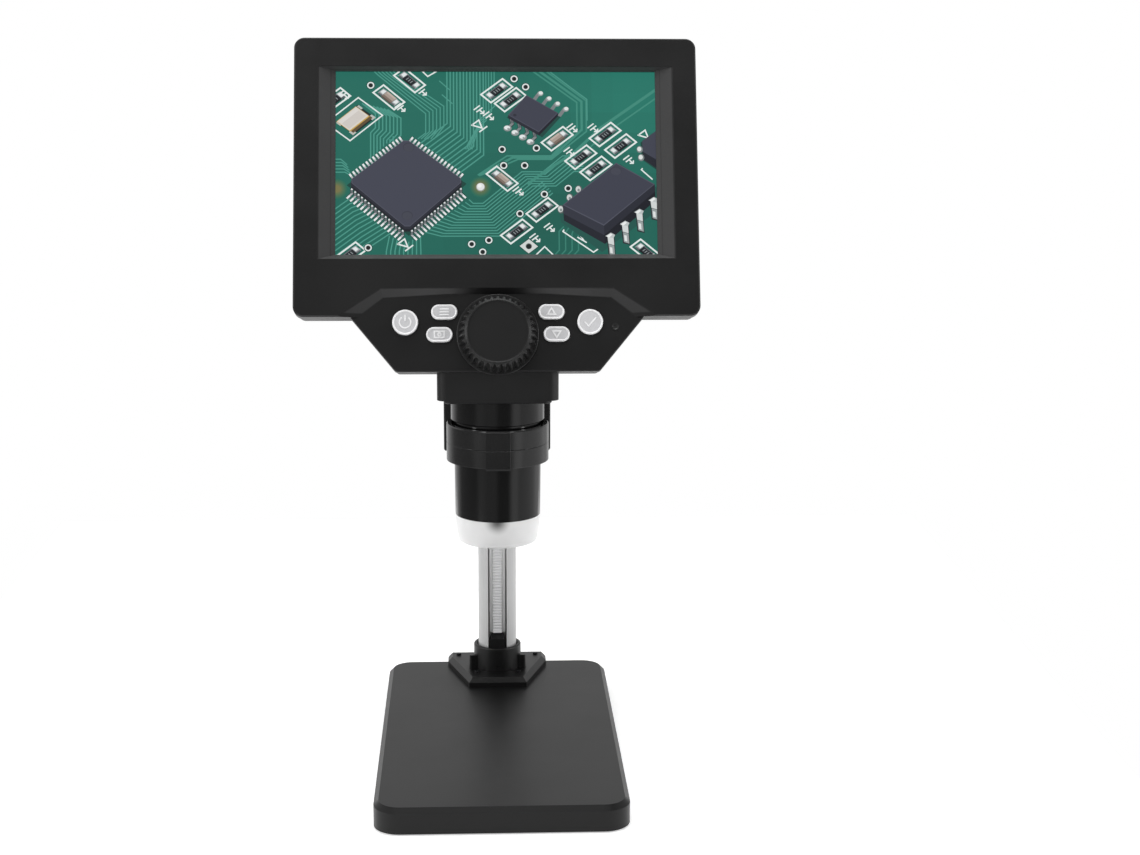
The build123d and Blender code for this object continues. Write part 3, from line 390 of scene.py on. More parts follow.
M["glass"] = glass("optical_glass", (0.95, 0.97, 1.0, 1.0))


def screen_black():
    m = Mat("display_black")
    m.set(spec=0.5)
    n = m.noise(60.0, 2.0)
    m.to("Base Color", m.mix_colour(n, rgb(10, 11, 12), rgb(14, 15, 16)))
    m.to("Roughness", m.ramp(n, 0.3, 0.7, 0.12, 0.18))
    return m.m


M["display"] = screen_black()

BY_NODE = {
    "base_cover": "base", "base_floor_plate": "housing", "base_ballast": "steel", "base_screws": "screw", "base_feet": "rubber",
    "column_socket": "socket", "socket_screws": "screw", "column_cross_bolt": "screw", "column": "alu", "column_rack": "rack", "column_cap": "knob",
    "carriage_body": "housing", "carriage_cover": "housing", "carriage_side_left": "housing", "carriage_side_right": "housing",
    "carriage_screws": "screw", "shaft_bushes": "acetal", "ring_upper": "ring", "ring_lower": "ring", "height_shaft": "steel",
    "height_pinion": "brass", "height_knob_left": "knob", "height_knob_right": "knob", "grip_liner": "rubber", "front_bezel": "bezel",
    "rear_cover": "housing", "neck_housing": "housing", "lcd_panel": "display", "main_board": "pcb", "battery": "foil", "display_ribbon": "amber",
    "button_board": "pcb", "tact_switches": "knob", "usb_inlet": "steel", "card_slot": "steel", "housing_screws": "screw",
    "indicator_lens": "knob", "dimmer_pot": "knob", "focus_bush": "acetal", "barrel_collar": "gloss", "lower_barrel": "gloss",
    "diffuser": "diffuser", "led_board": "acetal", "leds": "yellow", "sensor_board": "pcb", "image_sensor": "knob", "lens_tube": "knob",
    "front_lens": "glass", "focus_rack": "acetal", "focus_shaft": "steel", "focus_pinion": "brass", "focus_knob": "focus_knob", "dimmer_wheel": "knob",
    "power_button": "button", "menu_button": "button", "mode_button": "button", "up_button": "button", "down_button": "button",
    "confirm_button": "button",
}
for name, key in BY_NODE.items():
    o = NODES[name]
    o.data.materials.clear()
    o.data.materials.append(M[key])

# ---------------------------------------------------------------------------
# Mesh helpers
# ---------------------------------------------------------------------------
def mesh_piece(name, verts, faces, matrix, mat, body, node=None, smooth=True, angle=35.0):
    """A closed mesh from millimetre points, placed by a matrix, riding a body."""
    me = bpy.data.meshes.new(name)
    me.from_pydata([matrix @ Vector(v) for v in verts], [], faces)
    bm = bmesh.new()
    bm.from_mesh(me)
    bmesh.ops.remove_doubles(bm, verts=bm.verts, dist=1e-7)
    bmesh.ops.recalc_face_normals(bm, faces=bm.faces)
    bm.to_mesh(me)
    bm.free()
    if smooth:
        me.polygons.foreach_set("use_smooth", [True] * len(me.polygons))
        me.set_sharp_from_angle(angle=math.radians(angle))
    me.materials.append(mat)
    o = bpy.data.objects.new(name, me)
    SC.collection.objects.link(o)
    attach(o, body)
    if node:
        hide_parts(node)
    return o


def rings_to_mesh(rings, close_first=True, close_last=True):
    """Rings of equal length, joined by quads; ends closed by a fan to their middle."""
    verts, faces = [], []
    n = len(rings[0])
    for r in rings:
        verts += r
    for k in range(len(rings) - 1):
        a, b = k * n, (k + 1) * n
        for i in range(n):
            j = (i + 1) % n
            faces.append((a + i, a + j, b + j, b + i))
    for close, k in ((close_first, 0), (close_last, len(rings) - 1)):
        if close:
            r = rings[k]
            c = len(verts)
            verts.append(tuple(sum(p[q] for p in r) / n for q in range(3)))
            for i in range(n):
                j = (i + 1) % n
                faces.append((k * n + i, k * n + j, c))
    return verts, faces


# ---------------------------------------------------------------------------
# Focus knob: plain disc in a fine ring, barrel-shaped ribs, thin foot flange
# ---------------------------------------------------------------------------
RIBS = 34


def knob_piece():
    per = 12
    n = RIBS * per
    rib_w = 0.62

    def cross(i):
        f = ((i % per) + 0.5) / per - 0.5
        x = abs(f) / (rib_w / 2)
        return (1 - x ** 2.6) ** 0.5 if x < 1 else 0.0

    def flat(r, w):
        return [(r * math.cos(2 * math.pi * i / n), r * math.sin(2 * math.pi * i / n), w) for i in range(n)]

    rings = [flat(r, w) for r, w in ((4.0, 12.0), (9.0, 12.0), (13.6, 12.0), (14.35, 12.02), (14.48, 12.08), (14.55, 12.22), (14.61, 12.40), (14.68, 12.53),
                                     (14.79, 12.58), (14.90, 12.53), (14.97, 12.40), (15.03, 12.22), (15.10, 12.08), (15.24, 12.02), (15.44, 11.95), (15.58, 11.80),
                                     (15.70, 11.6))]
    steps = 18
    for k in range(steps + 1):
        t = k / steps
        w = 11.6 - (11.6 - 3.55) * t
        rg = 15.70 + (17.78 - 15.70) * t
        ro = 16.72 + (18.80 - 16.72) * t + 0.10 * 4 * t * (1 - t)
        e = min(1.0, t / 0.13) if t < 0.5 else min(1.0, (1 - t) / 0.07)
        e = (1 - (1 - e) ** 2.4) ** 0.5
        ring = []
        for i in range(n):
            r = rg + (ro - rg) * e * cross(i)
            a = 2 * math.pi * i / n
            ring.append((r * math.cos(a), r * math.sin(a), w))
        rings.append(ring)
    rings += [flat(r, w) for r, w in ((17.95, 3.50), (18.98, 3.50), (19.24, 3.44), (19.42, 3.28), (19.49, 3.06), (19.49, 2.3), (19.4, 2.05), (19.2, 1.93), (17.0, 1.9), (8.0, 1.9))]
    rings = [[(x, y - 84.0, w) for x, y, w in r] for r in rings]
    v, f = rings_to_mesh(rings)
    return mesh_piece("focus_knob_ribbed", v, f, HEADM, M["focus_knob"], "focus_drive", "focus_knob", True, 42.0)


knob_piece()


# ---------------------------------------------------------------------------
# Buttons: cushioned caps with a raised rim, a sunken face and a raised sign
# ---------------------------------------------------------------------------
def outline(half, r, m=28):
    """A pill of radius r whose end circles sit at +-half; a circle where half is 0."""
    pts = []
    for k in range(m):
        a = -math.pi / 2 + math.pi * k / (m - 1)
        pts.append((half + r * math.cos(a), r * math.sin(a)))
    if half > 0:
        for k in range(1, 4):
            pts.append((half - 2 * half * k / 4, r))
    for k in range(m):
        a = math.pi / 2 + math.pi * k / (m - 1)
        pts.append((-half + r * math.cos(a), r * math.sin(a)))
    if half > 0:
        for k in range(1, 4):
            pts.append((-half + 2 * half * k / 4, -r))
    else:
        pts = [p for i, p in enumerate(pts) if i not in (m, 2 * m - 1)]
    return pts


def ridge(path, width, z0, z1, closed=False):
    """A raised line of trapezoid section along a flat path."""
    n = len(path)
    secs = []
    for i, (x, y) in enumerate(path):
        a = path[(i - 1) % n] if (closed or i > 0) else None
        b = path[(i + 1) % n] if (closed or i < n - 1) else None
        d0 = d1 = None
        if a is not None:
            L = math.hypot(x - a[0], y - a[1]); d0 = ((x - a[0]) / L, (y - a[1]) / L)
        if b is not None:
            L = math.hypot(b[0] - x, b[1] - y); d1 = ((b[0] - x) / L, (b[1] - y) / L)
        d0 = d0 or d1
        d1 = d1 or d0
        nx, ny = -(d0[1] + d1[1]), d0[0] + d1[0]
        L = math.hypot(nx, ny) or 1.0
        nx, ny = nx / L, ny / L
        k = 1.0 / max(0.4, nx * -d0[1] + ny * d0[0])
        h0, h1 = width / 2 * k, (width / 2 - 0.09) * k
        secs.append([(x - nx * h0, y - ny * h0, z0), (x - nx * h0, y - ny * h0, z1 - 0.07), (x - nx * h1, y - ny * h1, z1),
                     (x + nx * h1, y + ny * h1, z1), (x + nx * h0, y + ny * h0, z1 - 0.07), (x + nx * h0, y + ny * h0, z0)])
    verts = [p for s in secs for p in s]
    faces = []
    m = 6
    for i in range(n if closed else n - 1):
        j = (i + 1) % n
        for k in range(m):
            q = (k + 1) % m
            faces.append((i * m + k, i * m + q, j * m + q, j * m + k))
    if not closed:
        faces.append(tuple(range(m)))
        faces.append(tuple((n - 1) * m + k for k in range(m))[::-1])
    return verts, faces


def arc(r, a0, a1, n=36, cx=0.0, cy=0.0):
    return [(cx + r * math.cos(math.radians(a0 + (a1 - a0) * i / n)), cy + r * math.sin(math.radians(a0 + (a1 - a0) * i / n))) for i in range(n + 1)]


SIGNS = {
    "power_button": [(arc(2.7, 125, 415, 40), False), ([(0, 0.6), (0, 3.6)], False)],
    "menu_button": [([(-2.2, 1.35), (2.2, 1.35)], False), ([(-2.2, 0), (2.2, 0)], False), ([(-2.2, -1.35), (2.2, -1.35)], False)],
    "mode_button": [([(-2.3, -1.45), (2.3, -1.45), (2.3, 1.45), (-2.3, 1.45)], True), (arc(0.72, 0, 340, 18), True)],
    "up_button": [([(-1.85, -1.35), (1.85, -1.35), (0, 1.75)], True)],
    "down_button": [([(1.85, 1.35), (-1.85, 1.35), (0, -1.75)], True)],
    "confirm_button": [([(-2.7, -0.1), (-0.8, -2.1), (2.9, 2.1)], False)],
}
PLACES = {"power_button": (-43.7, -77.9, 0.0, 6.1), "menu_button": (-25.2, -73.0, 2.65, 3.6), "mode_button": (-27.5, -83.8, 2.65, 3.6),
          "up_button": (25.5, -73.0, 2.65, 3.6), "down_button": (27.9, -83.7, 2.65, 3.6), "confirm_button": (43.9, -77.9, 0.0, 6.1)}


def button_piece(node):
    u, v, half, r = PLACES[node]
    prof = [(0.0, -0.9), (0.0, 2.22), (0.03, 2.38), (0.10, 2.53), (0.22, 2.64), (0.38, 2.69), (0.52, 2.70), (0.66, 2.67), (0.78, 2.60), (0.87, 2.52), (1.0, 2.465), (1.25, 2.44),
            (1.9, 2.44), (2.6, 2.44)]
    if half == 0:
        prof.append((4.4, 2.44))
    rings = [[(u + x, v + y, w) for x, y in outline(half, r - d)] for d, w in prof]
    verts, faces = rings_to_mesh(rings)
    for path, closed in SIGNS[node]:
        if closed:
            path = path[:-1] if path[0] == path[-1] else path
        rv, rf = ridge(path, 0.72, 2.28, 2.62, closed)
        base = len(verts)
        verts += [(u + x, v + y, w) for x, y, w in rv]
        faces += [tuple(base + i for i in f) for f in rf]
    o = mesh_piece(node + "_cap", verts, faces, HEADM, M["button"], node, node, True, 40.0)
    o.data.materials.append(M["button_face"])
    # painted light and shade: the sunken face takes a darker grey than the rim and the sign
    inv = HEADM.inverted()
    for poly in o.data.polygons:
        c = inv @ poly.center
        x = max(0.0, abs(c.x - u) - half)
        d = r - math.hypot(x, c.y - v)
        flat = all((inv @ o.data.vertices[k].co).z < 2.49 and (inv @ o.data.vertices[k].co).z > 2.30 for k in poly.vertices)
        if d > 0.93 and flat:
            poly.material_index = 1
    return o


for b in PLACES:
    button_piece(b)


# ---------------------------------------------------------------------------
# Display: a magnified view of a generic circuit board, drawn as one flat sheet
# ---------------------------------------------------------------------------
PW, PH = 1500.0, 850.0


class Board:
    """Coloured polygons, later ones over earlier ones."""

    def __init__(self):
        self.p = []
        self.rnd = random.Random(11)

    def poly(self, pts, col):
        if not (isinstance(col, tuple) and isinstance(col[0], tuple)):
            col = (col, (0, 0), col, (0, 1))
        self.p.append((pts, col))

    def line(self, pts, width, col, cap=True):
        h = width / 2
        n = len(pts)
        left, right = [], []
        for i, (x, y) in enumerate(pts):
            d0 = d1 = None
            if i > 0:
                a = pts[i - 1]
                L = math.hypot(x - a[0], y - a[1])
                d0 = ((x - a[0]) / L, (y - a[1]) / L)
            if i < n - 1:
                b = pts[i + 1]
                L = math.hypot(b[0] - x, b[1] - y)
                d1 = ((b[0] - x) / L, (b[1] - y) / L)
            if d0 is None:
                d0 = d1
                if cap:
                    x, y = x - d1[0] * h, y - d1[1] * h
            elif d1 is None:
                d1 = d0
                if cap:
                    x, y = x + d0[0] * h, y + d0[1] * h
            nx, ny = -(d0[1] + d1[1]), d0[0] + d1[0]
            L = math.hypot(nx, ny) or 1.0
            nx, ny = nx / L, ny / L
            k = h / max(0.35, nx * -d0[1] + ny * d0[0])
            left.append((x + nx * k, y + ny * k))
            right.append((x - nx * k, y - ny * k))
        self.poly(left + right[::-1], col)

    def disc(self, x, y, r, col, n=18, squash=0.94):
        self.poly([(x + r * math.cos(2 * math.pi * i / n), y + r * squash * math.sin(2 * math.pi * i / n)) for i in range(n)], col)

    def frame(self, cx, cy, ang_a=39.0, ang_b=-36.0):
        """Local axes on the tilted board: a runs down to the right, b up to the right."""
        a = (math.cos(math.radians(ang_a)), math.sin(math.radians(ang_a)))
        b = (math.cos(math.radians(ang_b)), math.sin(math.radians(ang_b)))
        return lambda p, q: (cx + p * a[0] + q * b[0], cy + p * a[1] + q * b[1])

    def rect(self, f, p0, p1, q0, q1, col):
        self.poly([f(p0, q0), f(p1, q0), f(p1, q1), f(p0, q1)], col)


def draw_board():
    B = Board()
    GREEN = (33, 103, 90)
    TRACE = (74, 148, 133)
    DARK = (22, 76, 67)
    SILK = (226, 232, 230)
    SLATE = (66, 68, 81)
    SLATE_D = (50, 53, 64)
    INK = (26, 32, 36)
    PIN = (176, 182, 184)
    PIN_L = (226, 230, 230)
    PIN_D = (92, 98, 102)
    TIN = (158, 164, 166)

    def via(x, y, r=17):
        B.disc(x, y, r + 4, DARK, 18)
        B.disc(x, y, r, SILK, 18)
        B.disc(x, y, r * 0.68, (120, 128, 128), 14)
        B.disc(x + 0.5, y, r * 0.56, (24, 30, 30), 14)

    # slow shade of the solder mask: paler towards the upper right, deeper low in the middle
    for i in range(15):
        for j in range(9):
            x0, y0 = i * 100, j * 850 / 9
            k = 1.03 - 0.10 * math.exp(-(((x0 - 950) / 420) ** 2 + ((y0 - 620) / 300) ** 2)) - 0.04 * (j / 8)
            k += 0.12 * math.exp(-(((x0 - 1330) / 330) ** 2 + ((y0 - 90) / 240) ** 2))
            B.poly([(x0, y0), (x0 + 100, y0), (x0 + 100, y0 + 850 / 9), (x0, y0 + 850 / 9)], tuple(c * k for c in GREEN))

    # trace bundles
    def bundle(lines, col=TRACE, width=6.0):
        for pts in lines:
            B.line(pts, width, col)

    # from the top edge down to the upper right side of the big chip
    L = []
    for i in range(12):
        x = 520 + i * 15.5
        y1 = 300 + i * 10 - (11 - i) * 14
        xe, ye = 398 + i * 16.5, 350 + i * 12.6 - 18
        yb = ye - (x - xe) * 0.74
        L.append([(x, -5), (x, yb), (xe, ye)])
    bundle(L)
    # from the left part down to the upper left side
    L = []
    for i in range(8):
        xt = 165 + i * 17
        L.append([(xt - 40, 150 + i * 4), (xt + 20, 196 + i * 3), (xt + 20, 262 + i * 5), (xt - 2 - i * 2, 285 + i * 7), (xt - 2 - i * 2, 402 - i * 14)])
    bundle(L)
    # long diagonals in the upper left corner
    L = []
    for i in range(6):
        L.append([(175 + i * 18, -5), (195 + i * 18, 14), (420 + i * 17, 196 - i * 7), (420 + i * 17, 286 - i * 6), (385 + i * 15, 312)])
    bundle(L, TRACE, 5.0)
    # left edge, from the pins down to the left
    L = []
    for i in range(13):
        L.append([(-5, 640 + i * 24), (60 + i * 7, 594 + i * 19), (96 + i * 14.5, 590 + i * 12.5)])
    bundle(L, TRACE, 5.5)
    for i in range(5):
        L = [(-5, 408 + i * 15), (24 + i * 5, 408 + i * 15), (52 + i * 5, 432 + i * 13)]
        B.line(L, 5.0, TRACE)
    # from the lower right side, in nested steps to the right
    L = []
    for i in range(13):
        y1 = 612 + i * 12.6
        x1 = 686 + i * 6.5
        y2 = 466 + i * 11.0
        x2 = x1 + (y1 - y2) / 0.80
        x3 = 968 + i * 10 if i < 7 else 880 + i * 9
        y3 = (392 + i * 12.0) if i < 7 else (500 + (i - 7) * 10)
        pts = [(622 - i * 17.0, 596 + i * 12.4), (640 - i * 12.5, y1), (x1, y1), (x2, y2)]
        if i < 7:
            pts += [(x3, y2), (x3 + (y2 - y3) / 0.80, y3), (x3 + (y2 - y3) / 0.80 + 60, y3)]
        else:
            pts += [(x2 + 40, y2 - 32)]
        L.append(pts)
    bundle(L, TRACE, 5.0)
    # below the big chip to the bottom edge
    L = []
    for i in range(9):
        L.append([(250 + i * 18, 800 - abs(i - 4) * 9), (236 + i * 20, 832), (236 + i * 20, 860)])
    bundle(L, TRACE, 5.5)
    # broad runs, top right
    for i in range(3):
        B.line([(915 + i * 32, -10), (1130 + i * 22, 142 - i * 4), (1130 + i * 22, 262 + i * 8), (1008, 392 + i * 8), (800 + i * 26, 392 + i * 8), (665 + i * 8, 480)], 11.0 if i == 1 else 7.0, (64, 137, 121))
    B.line([(1510, 78), (1240, 262), (1120, 372), (955, 480), (900, 520)], 13.0, (63, 136, 120))
    B.line([(1510, 118), (1262, 288), (1150, 388)], 7.0, (63, 136, 120))
    B.line([(1000, -5), (1115, 82), (1178, 128), (1178, 225)], 5.0, TRACE)
    for i in range(5):
        B.line([(690 + i * 13, -5), (690 + i * 13, 250 - i * 22), (640 + i * 10, 296 - i * 20), (604 + i * 8, 360)], 4.6, TRACE)
    for i in range(4):
        B.line([(1010 + i * 30, 860), (1040 + i * 30, 828), (1040 + i * 30, 742 + i * 6), (1060 + i * 24, 722 + i * 6)], 6.0, (56, 124, 110))
    for x, y in ((498, 108), (486, 44)):
        B.line([(x, y), (x + 46, y + 40)], 5.0, TRACE)

    # fiducial with its pale halo
    for k in range(8):
        t = k / 7
        B.disc(675, 536, 52 - 5 * k, tuple(a + (b - a) * t for a, b in zip((36, 104, 88), (122, 114, 72))), 26)
        B.disc(6, 545, 52 - 5 * k, tuple(a + (b - a) * t for a, b in zip((36, 104, 88), (118, 114, 74))), 26)
    B.disc(675, 537, 21, (150, 156, 150), 22)
    B.disc(675, 535, 18, (222, 224, 224), 22)
    B.disc(671, 531, 9, (240, 241, 241), 14)

    # small two-ended parts in white outlines
    def part(cx, cy, kind="R", turn=False, s=1.0, outline=True):
        f0 = B.frame(cx, cy)
        f = (lambda p, q: f0(q * s, -p * s)) if turn else (lambda p, q: f0(p * s, q * s))
        L2, W2 = 63, 30
        if outline:
            for sg in (-1, 1):
                B.line([f(sg * W2, -34), f(sg * W2, -L2), f(0, -L2)], 7.5, SILK)
                B.line([f(sg * W2, 34), f(sg * W2, L2), f(0, L2)], 7.5, SILK)
                B.line([f(sg * W2, -34), f(sg * W2, 34)], 7.5, SILK)
        B.rect(f, -17, 21, -46, 46, DARK)
        for sg in (-1, 1):
            B.poly([f(-19, sg * 24), f(19, sg * 24), f(17, sg * 50), f(-17, sg * 50)], TIN)
            B.poly([f(-15, sg * 30), f(6, sg * 30), f(4, sg * 46), f(-13, sg * 46)], PIN_L)
            B.poly([f(10, sg * 26), f(19, sg * 26), f(17, sg * 48), f(11, sg * 48)], PIN_D)
        if kind == "R":
            B.rect(f, -18, 18, -27, 27, (34, 38, 43))
            B.rect(f, -17, -12, -26, 26, (98, 104, 108))
            B.rect(f, 12, 17, -26, 26, (20, 24, 28))
            for q in (-12, 0, 12):
                B.rect(f, -7, 8, q - 2.5, q + 2.0, (132, 138, 140))
        else:
            B.rect(f, -20, 22, -27, 27, (124, 110, 100))
            B.rect(f, -20, 4, -26, 26, (166, 152, 142))
            B.rect(f, -18, -10, -24, 24, (188, 174, 164))
            B.rect(f, 14, 22, -27, 27, (92, 80, 74))

    for x, y, kind, turn in ((248, 120, "C", True), (345, 40, "R", True), (754, 88, "R", False), (818, 130, "R", False), (1036, 312, "C", False),
                             (1262, 292, "R", False), (1146, 398, "R", False), (1216, 450, "R", False), (1334, 346, "R", False), (776, 498, "C", True),
                             (962, 642, "R", False), (842, 742, "R", False), (66, 846, "R", False), (-6, 132, "R", False), (1446, 836, "R", True)):
        part(x, y, kind, turn)

    # silkscreen corners and ticks
    for pts in ([(402, -5), (430, 22), (482, -8)], [(1062, 736), (1058, 742), (1200, 838), (1268, 790)], [(1434, 452), (1430, 456), (1480, 500)],
                [(925, 856), (972, 812), (1020, 858)], [(1128, 770), (1166, 792)], [(1140, 762), (1154, 782)]):
        B.line(pts, 6.0, SILK)
    # polarity bars and arrows beside the parts
    for x, y in ((302, 168), (402, 92), (672, 178), (716, 206), (1108, 262), (1206, 262), (1092, 372), (1372, 410), (852, 556), (996, 724), (928, 772), (38, 108)):
        f = B.frame(x, y)
        for pts in ([f(-16, -15), f(-16, 15)], [f(0, -15), f(0, 15)], [f(0, 0), f(18, 0)], [f(18, -9), f(26, 0), f(18, 9)]):
            B.line(pts, 6.0, SILK)
    for x, y in ((320, 800), (668, 250), (1450, 296)):
        f = B.frame(x, y)
        B.line([f(-20, -20), f(20, 0), f(-20, 20), f(-20, -16)], 6.5, SILK)
        B.line([f(28, -20), f(28, 20)], 6.5, SILK)

    for x, y in ((163, 64), (836, 32), (890, 70), (777, 362), (938, 356), (784, 437), (882, 437), (973, 570), (1085, 543), (858, 660), (712, 782), (632, 800),
                 (683, 836), (152, 816)):
        via(x, y)
    # square pad with a hole
    f = B.frame(898, 810)
    B.rect(f, -31, 31, -31, 31, DARK)
    B.rect(f, -27, 27, -27, 27, (208, 212, 210))
    B.disc(898, 810, 15, (110, 116, 114), 16)
    B.disc(898, 811, 12, (26, 32, 32), 16)

    # crystal in its metal can
    f = B.frame(86, 222, 36.0, -38.0)
    for a in ((-70, -96, 70, -96), (70, -96, 70, 96), (70, 96, -70, 96), (-70, 96, -70, -96)):
        B.line([f(a[0], a[1]), f(a[2], a[3])], 6.0, SILK)
    B.rect(f, -44, 58, -62, 66, (24, 44, 44))
    for p0, q0 in ((-40, -66), (-40, 48), (34, -66), (34, 48)):
        B.rect(f, p0, p0 + 24, q0, q0 + 20, (184, 186, 180))
    B.rect(f, -40, 50, -56, 58, (96, 78, 52))
    B.rect(f, -44, 36, -60, 55, (196, 160, 84))
    B.rect(f, -42, 30, -58, 54, (214, 208, 198))
    B.rect(f, -36, 22, -52, 46, (204, 198, 192))
    B.rect(f, -36, -20, -52, 46, (216, 212, 207))

    # eight-legged chip at the top
    C = [(893, 108), (1042, 192), (950, 282), (806, 202)]
    def mix(a, b, t):
        return (a[0] + (b[0] - a[0]) * t, a[1] + (b[1] - a[1]) * t)
    B.poly([(800, 214), (893, 112), (1060, 204), (966, 306)], (30, 70, 64))
    for i in range(4):
        o = mix((915, 104), (1052, 188), 0.06 + i * 0.29)
        B.poly([(o[0] - 4, o[1] + 22), (o[0] + 12, o[1] + 28), (o[0] + 34, o[1] - 2), (o[0] + 22, o[1] - 12)], (120, 126, 128))
        B.disc(o[0] + 36, o[1] - 8, 14, (150, 156, 156), 14, 0.82)
        B.disc(o[0] + 38, o[1] - 11, 10, (222, 226, 224), 12, 0.82)
    for i in range(4):
        o = mix((812, 206), (944, 284), 0.10 + i * 0.27)
        B.line([(o[0] + 8, o[1] - 6), (o[0] - 4, o[1] + 8), (o[0] + 1, o[1] + 28), (o[0] - 16, o[1] + 46)], 17, (24, 38, 40), False)
        B.line([(o[0] + 8, o[1] - 6), (o[0] - 4, o[1] + 8), (o[0] + 1, o[1] + 28), (o[0] - 14, o[1] + 42)], 12, (126, 132, 134), False)
        B.line([(o[0] + 6, o[1] - 4), (o[0] - 3, o[1] + 7)], 12, PIN_L, False)
        B.line([(o[0] - 2, o[1] + 10), (o[0], o[1] + 27)], 9, PIN_D, False)
        B.disc(o[0] - 22, o[1] + 50, 19, (140, 146, 146), 16, 0.74)
        B.disc(o[0] - 24, o[1] + 47, 14, PIN_L, 14, 0.68)
        B.disc(o[0] - 18, o[1] + 52, 6, (150, 156, 156), 8, 0.7)
    g = C
    B.poly([g[3], g[2], (g[2][0] + 1, g[2][1] + 16), (g[3][0] + 2, g[3][1] + 15)], (40, 42, 52))
    B.poly([g[2], g[1], (g[1][0] - 1, g[1][1] + 14), (g[2][0] + 1, g[2][1] + 16)], (30, 31, 41))
    B.poly(C, (74, 76, 90))
    B.poly([(893, 112), (1036, 192), (950, 277), (813, 202)], (62, 64, 77))
    B.disc(838, 202, 8, (46, 48, 58), 14, 0.75)

    # the large square chip with legs on four sides
    top, right, bottom, left = (328, 312), (596, 506), (334, 728), (62, 508)
    n = 16
    shadow = [(top[0], top[1] + 12), (right[0] + 14, right[1] + 16), (bottom[0] + 6, bottom[1] + 34), (left[0] - 10, left[1] + 20)]
    B.poly(shadow, (26, 68, 60))
    for i in range(n):
        t = 0.065 + 0.87 * i / (n - 1)
        # far sides: short legs
        for a, b, dx, dy in ((left, top, -13, -17), (top, right, 13, -16)):
            m = mix(a, b, t)
            B.line([m, (m[0] + dx * 1.15, m[1] + dy * 1.15)], 14.0, (24, 44, 42), False)
            B.line([m, (m[0] + dx, m[1] + dy)], 9.4, PIN, False)
            B.line([(m[0] + dx * 0.45, m[1] + dy * 0.45), (m[0] + dx * 1.15, m[1] + dy * 1.15)], 9.6, PIN_L, False)
        # near sides: long legs with a step
        for a, b, sx in ((left, bottom, -1), (right, bottom, 1)):
            m = mix(a, b, t)
            m = (m[0] - sx * 2, m[1] + 16)
            p = [(m[0], m[1] - 4), (m[0] + sx * 7, m[1] + 12), (m[0] + sx * 5, m[1] + 28), (m[0] + sx * 28, m[1] + 50)]
            B.line(p, 14.5, (20, 36, 36), False)
            B.line([(x, y) for x, y in p], 8.6, PIN, False)
            B.line(p[:2], 8.8, PIN_L, False)
            B.line([(p[1][0], p[1][1]), (p[2][0], p[2][1])], 7.4, PIN_D, False)
            B.line([(p[3][0] - sx * 13, p[3][1] - 12), (p[3][0] + sx * 1, p[3][1] + 1)], 9.2, PIN_L, False)
    cut = 0.045
    def cut_poly(t_, r_, b_, l_):
        out = []
        for a, o, c in ((l_, t_, r_), (t_, r_, b_), (r_, b_, l_), (b_, l_, t_)):
            out += [mix(o, a, cut), mix(o, c, cut)]
        return out
    low = [(x, y + 24) for x, y in cut_poly(top, right, bottom, left)]
    B.poly(low, (30, 32, 40))
    mid = cut_poly((top[0], top[1] + 9), (right[0] + 3, right[1] + 11), (bottom[0], bottom[1] + 12), (left[0] - 3, left[1] + 11))
    B.poly(mid, (42, 44, 54))
    B.poly(cut_poly(top, right, bottom, left), (80, 82, 95))
    B.poly(cut_poly((top[0], top[1] + 4), (right[0] - 4, right[1]), (bottom[0], bottom[1] - 4), (left[0] + 4, left[1])), SLATE)
    for x, y, r in ((333, 668, 26), (340, 352, 27)):
        B.disc(x, y, r, (58, 60, 71), 26, 0.78)
        B.disc(x, y + 2, r - 3, (67, 69, 80), 26, 0.78)

    # the thick chip at the right, legs on its near side
    T = [(1312, 424), (1492, 524), (1250, 716), (1058, 620)]
    B.poly([(1040, 640), (1330, 430), (1510, 545), (1510, 640), (1240, 838), (1050, 700)], (34, 84, 76))
    # far legs peeping out
    for x, y in ((1050, 640), (1092, 586), (1134, 548)):
        B.disc(x, y, 16, (90, 98, 98), 14, 1.2)
        B.disc(x - 2, y - 1, 12, (206, 210, 208), 14, 1.2)
        B.disc(x, y + 3, 6, (130, 138, 138), 10, 1.2)
    B.poly([T[3], T[2], (1254, 800), (1064, 692)], (34, 36, 45))
    B.poly([(1058, 620), (1250, 716), (1252, 760), (1061, 660)], (50, 52, 63))
    B.poly([T[2], T[1], (1494, 600), (1254, 800)], (26, 28, 36))
    B.poly([(1250, 716), (1492, 524), (1493, 558), (1252, 758)], (40, 42, 52))
    B.poly(T, (78, 80, 93))
    B.poly([(1312, 429), (1486, 525), (1250, 710), (1066, 619)], (61, 63, 76))
    for i in range(4):
        o = mix((1268, 760), (1476, 592), i / 3.05)
        B.poly([(o[0] - 6, o[1] - 2), (o[0] + 30, o[1] + 8), (o[0] + 36, o[1] + 100), (o[0] + 2, o[1] + 92)], (40, 46, 50))
        B.poly([(o[0] - 2, o[1] + 2), (o[0] + 27, o[1] + 12), (o[0] + 29, o[1] + 46), (o[0] + 2, o[1] + 38)], (206, 211, 210))
        B.poly([(o[0] + 3, o[1] + 40), (o[0] + 29, o[1] + 48), (o[0] + 32, o[1] + 94), (o[0] + 7, o[1] + 86)], (150, 158, 158))
        B.poly([(o[0] + 8, o[1] + 54), (o[0] + 20, o[1] + 57), (o[0] + 22, o[1] + 84), (o[0] + 10, o[1] + 80)], (220, 224, 223))
        B.poly([(o[0] - 12, o[1] + 4), (o[0] + 14, o[1] - 12), (o[0] + 34, o[1] - 2), (o[0] + 26, o[1] + 14)], (186, 192, 192))
        B.poly([(o[0] - 8, o[1] + 5), (o[0] + 13, o[1] - 8), (o[0] + 22, o[1] - 3), (o[0] + 6, o[1] + 10)], (232, 235, 234))
    B.disc(1310, 462, 27, (58, 60, 71), 26, 0.72)
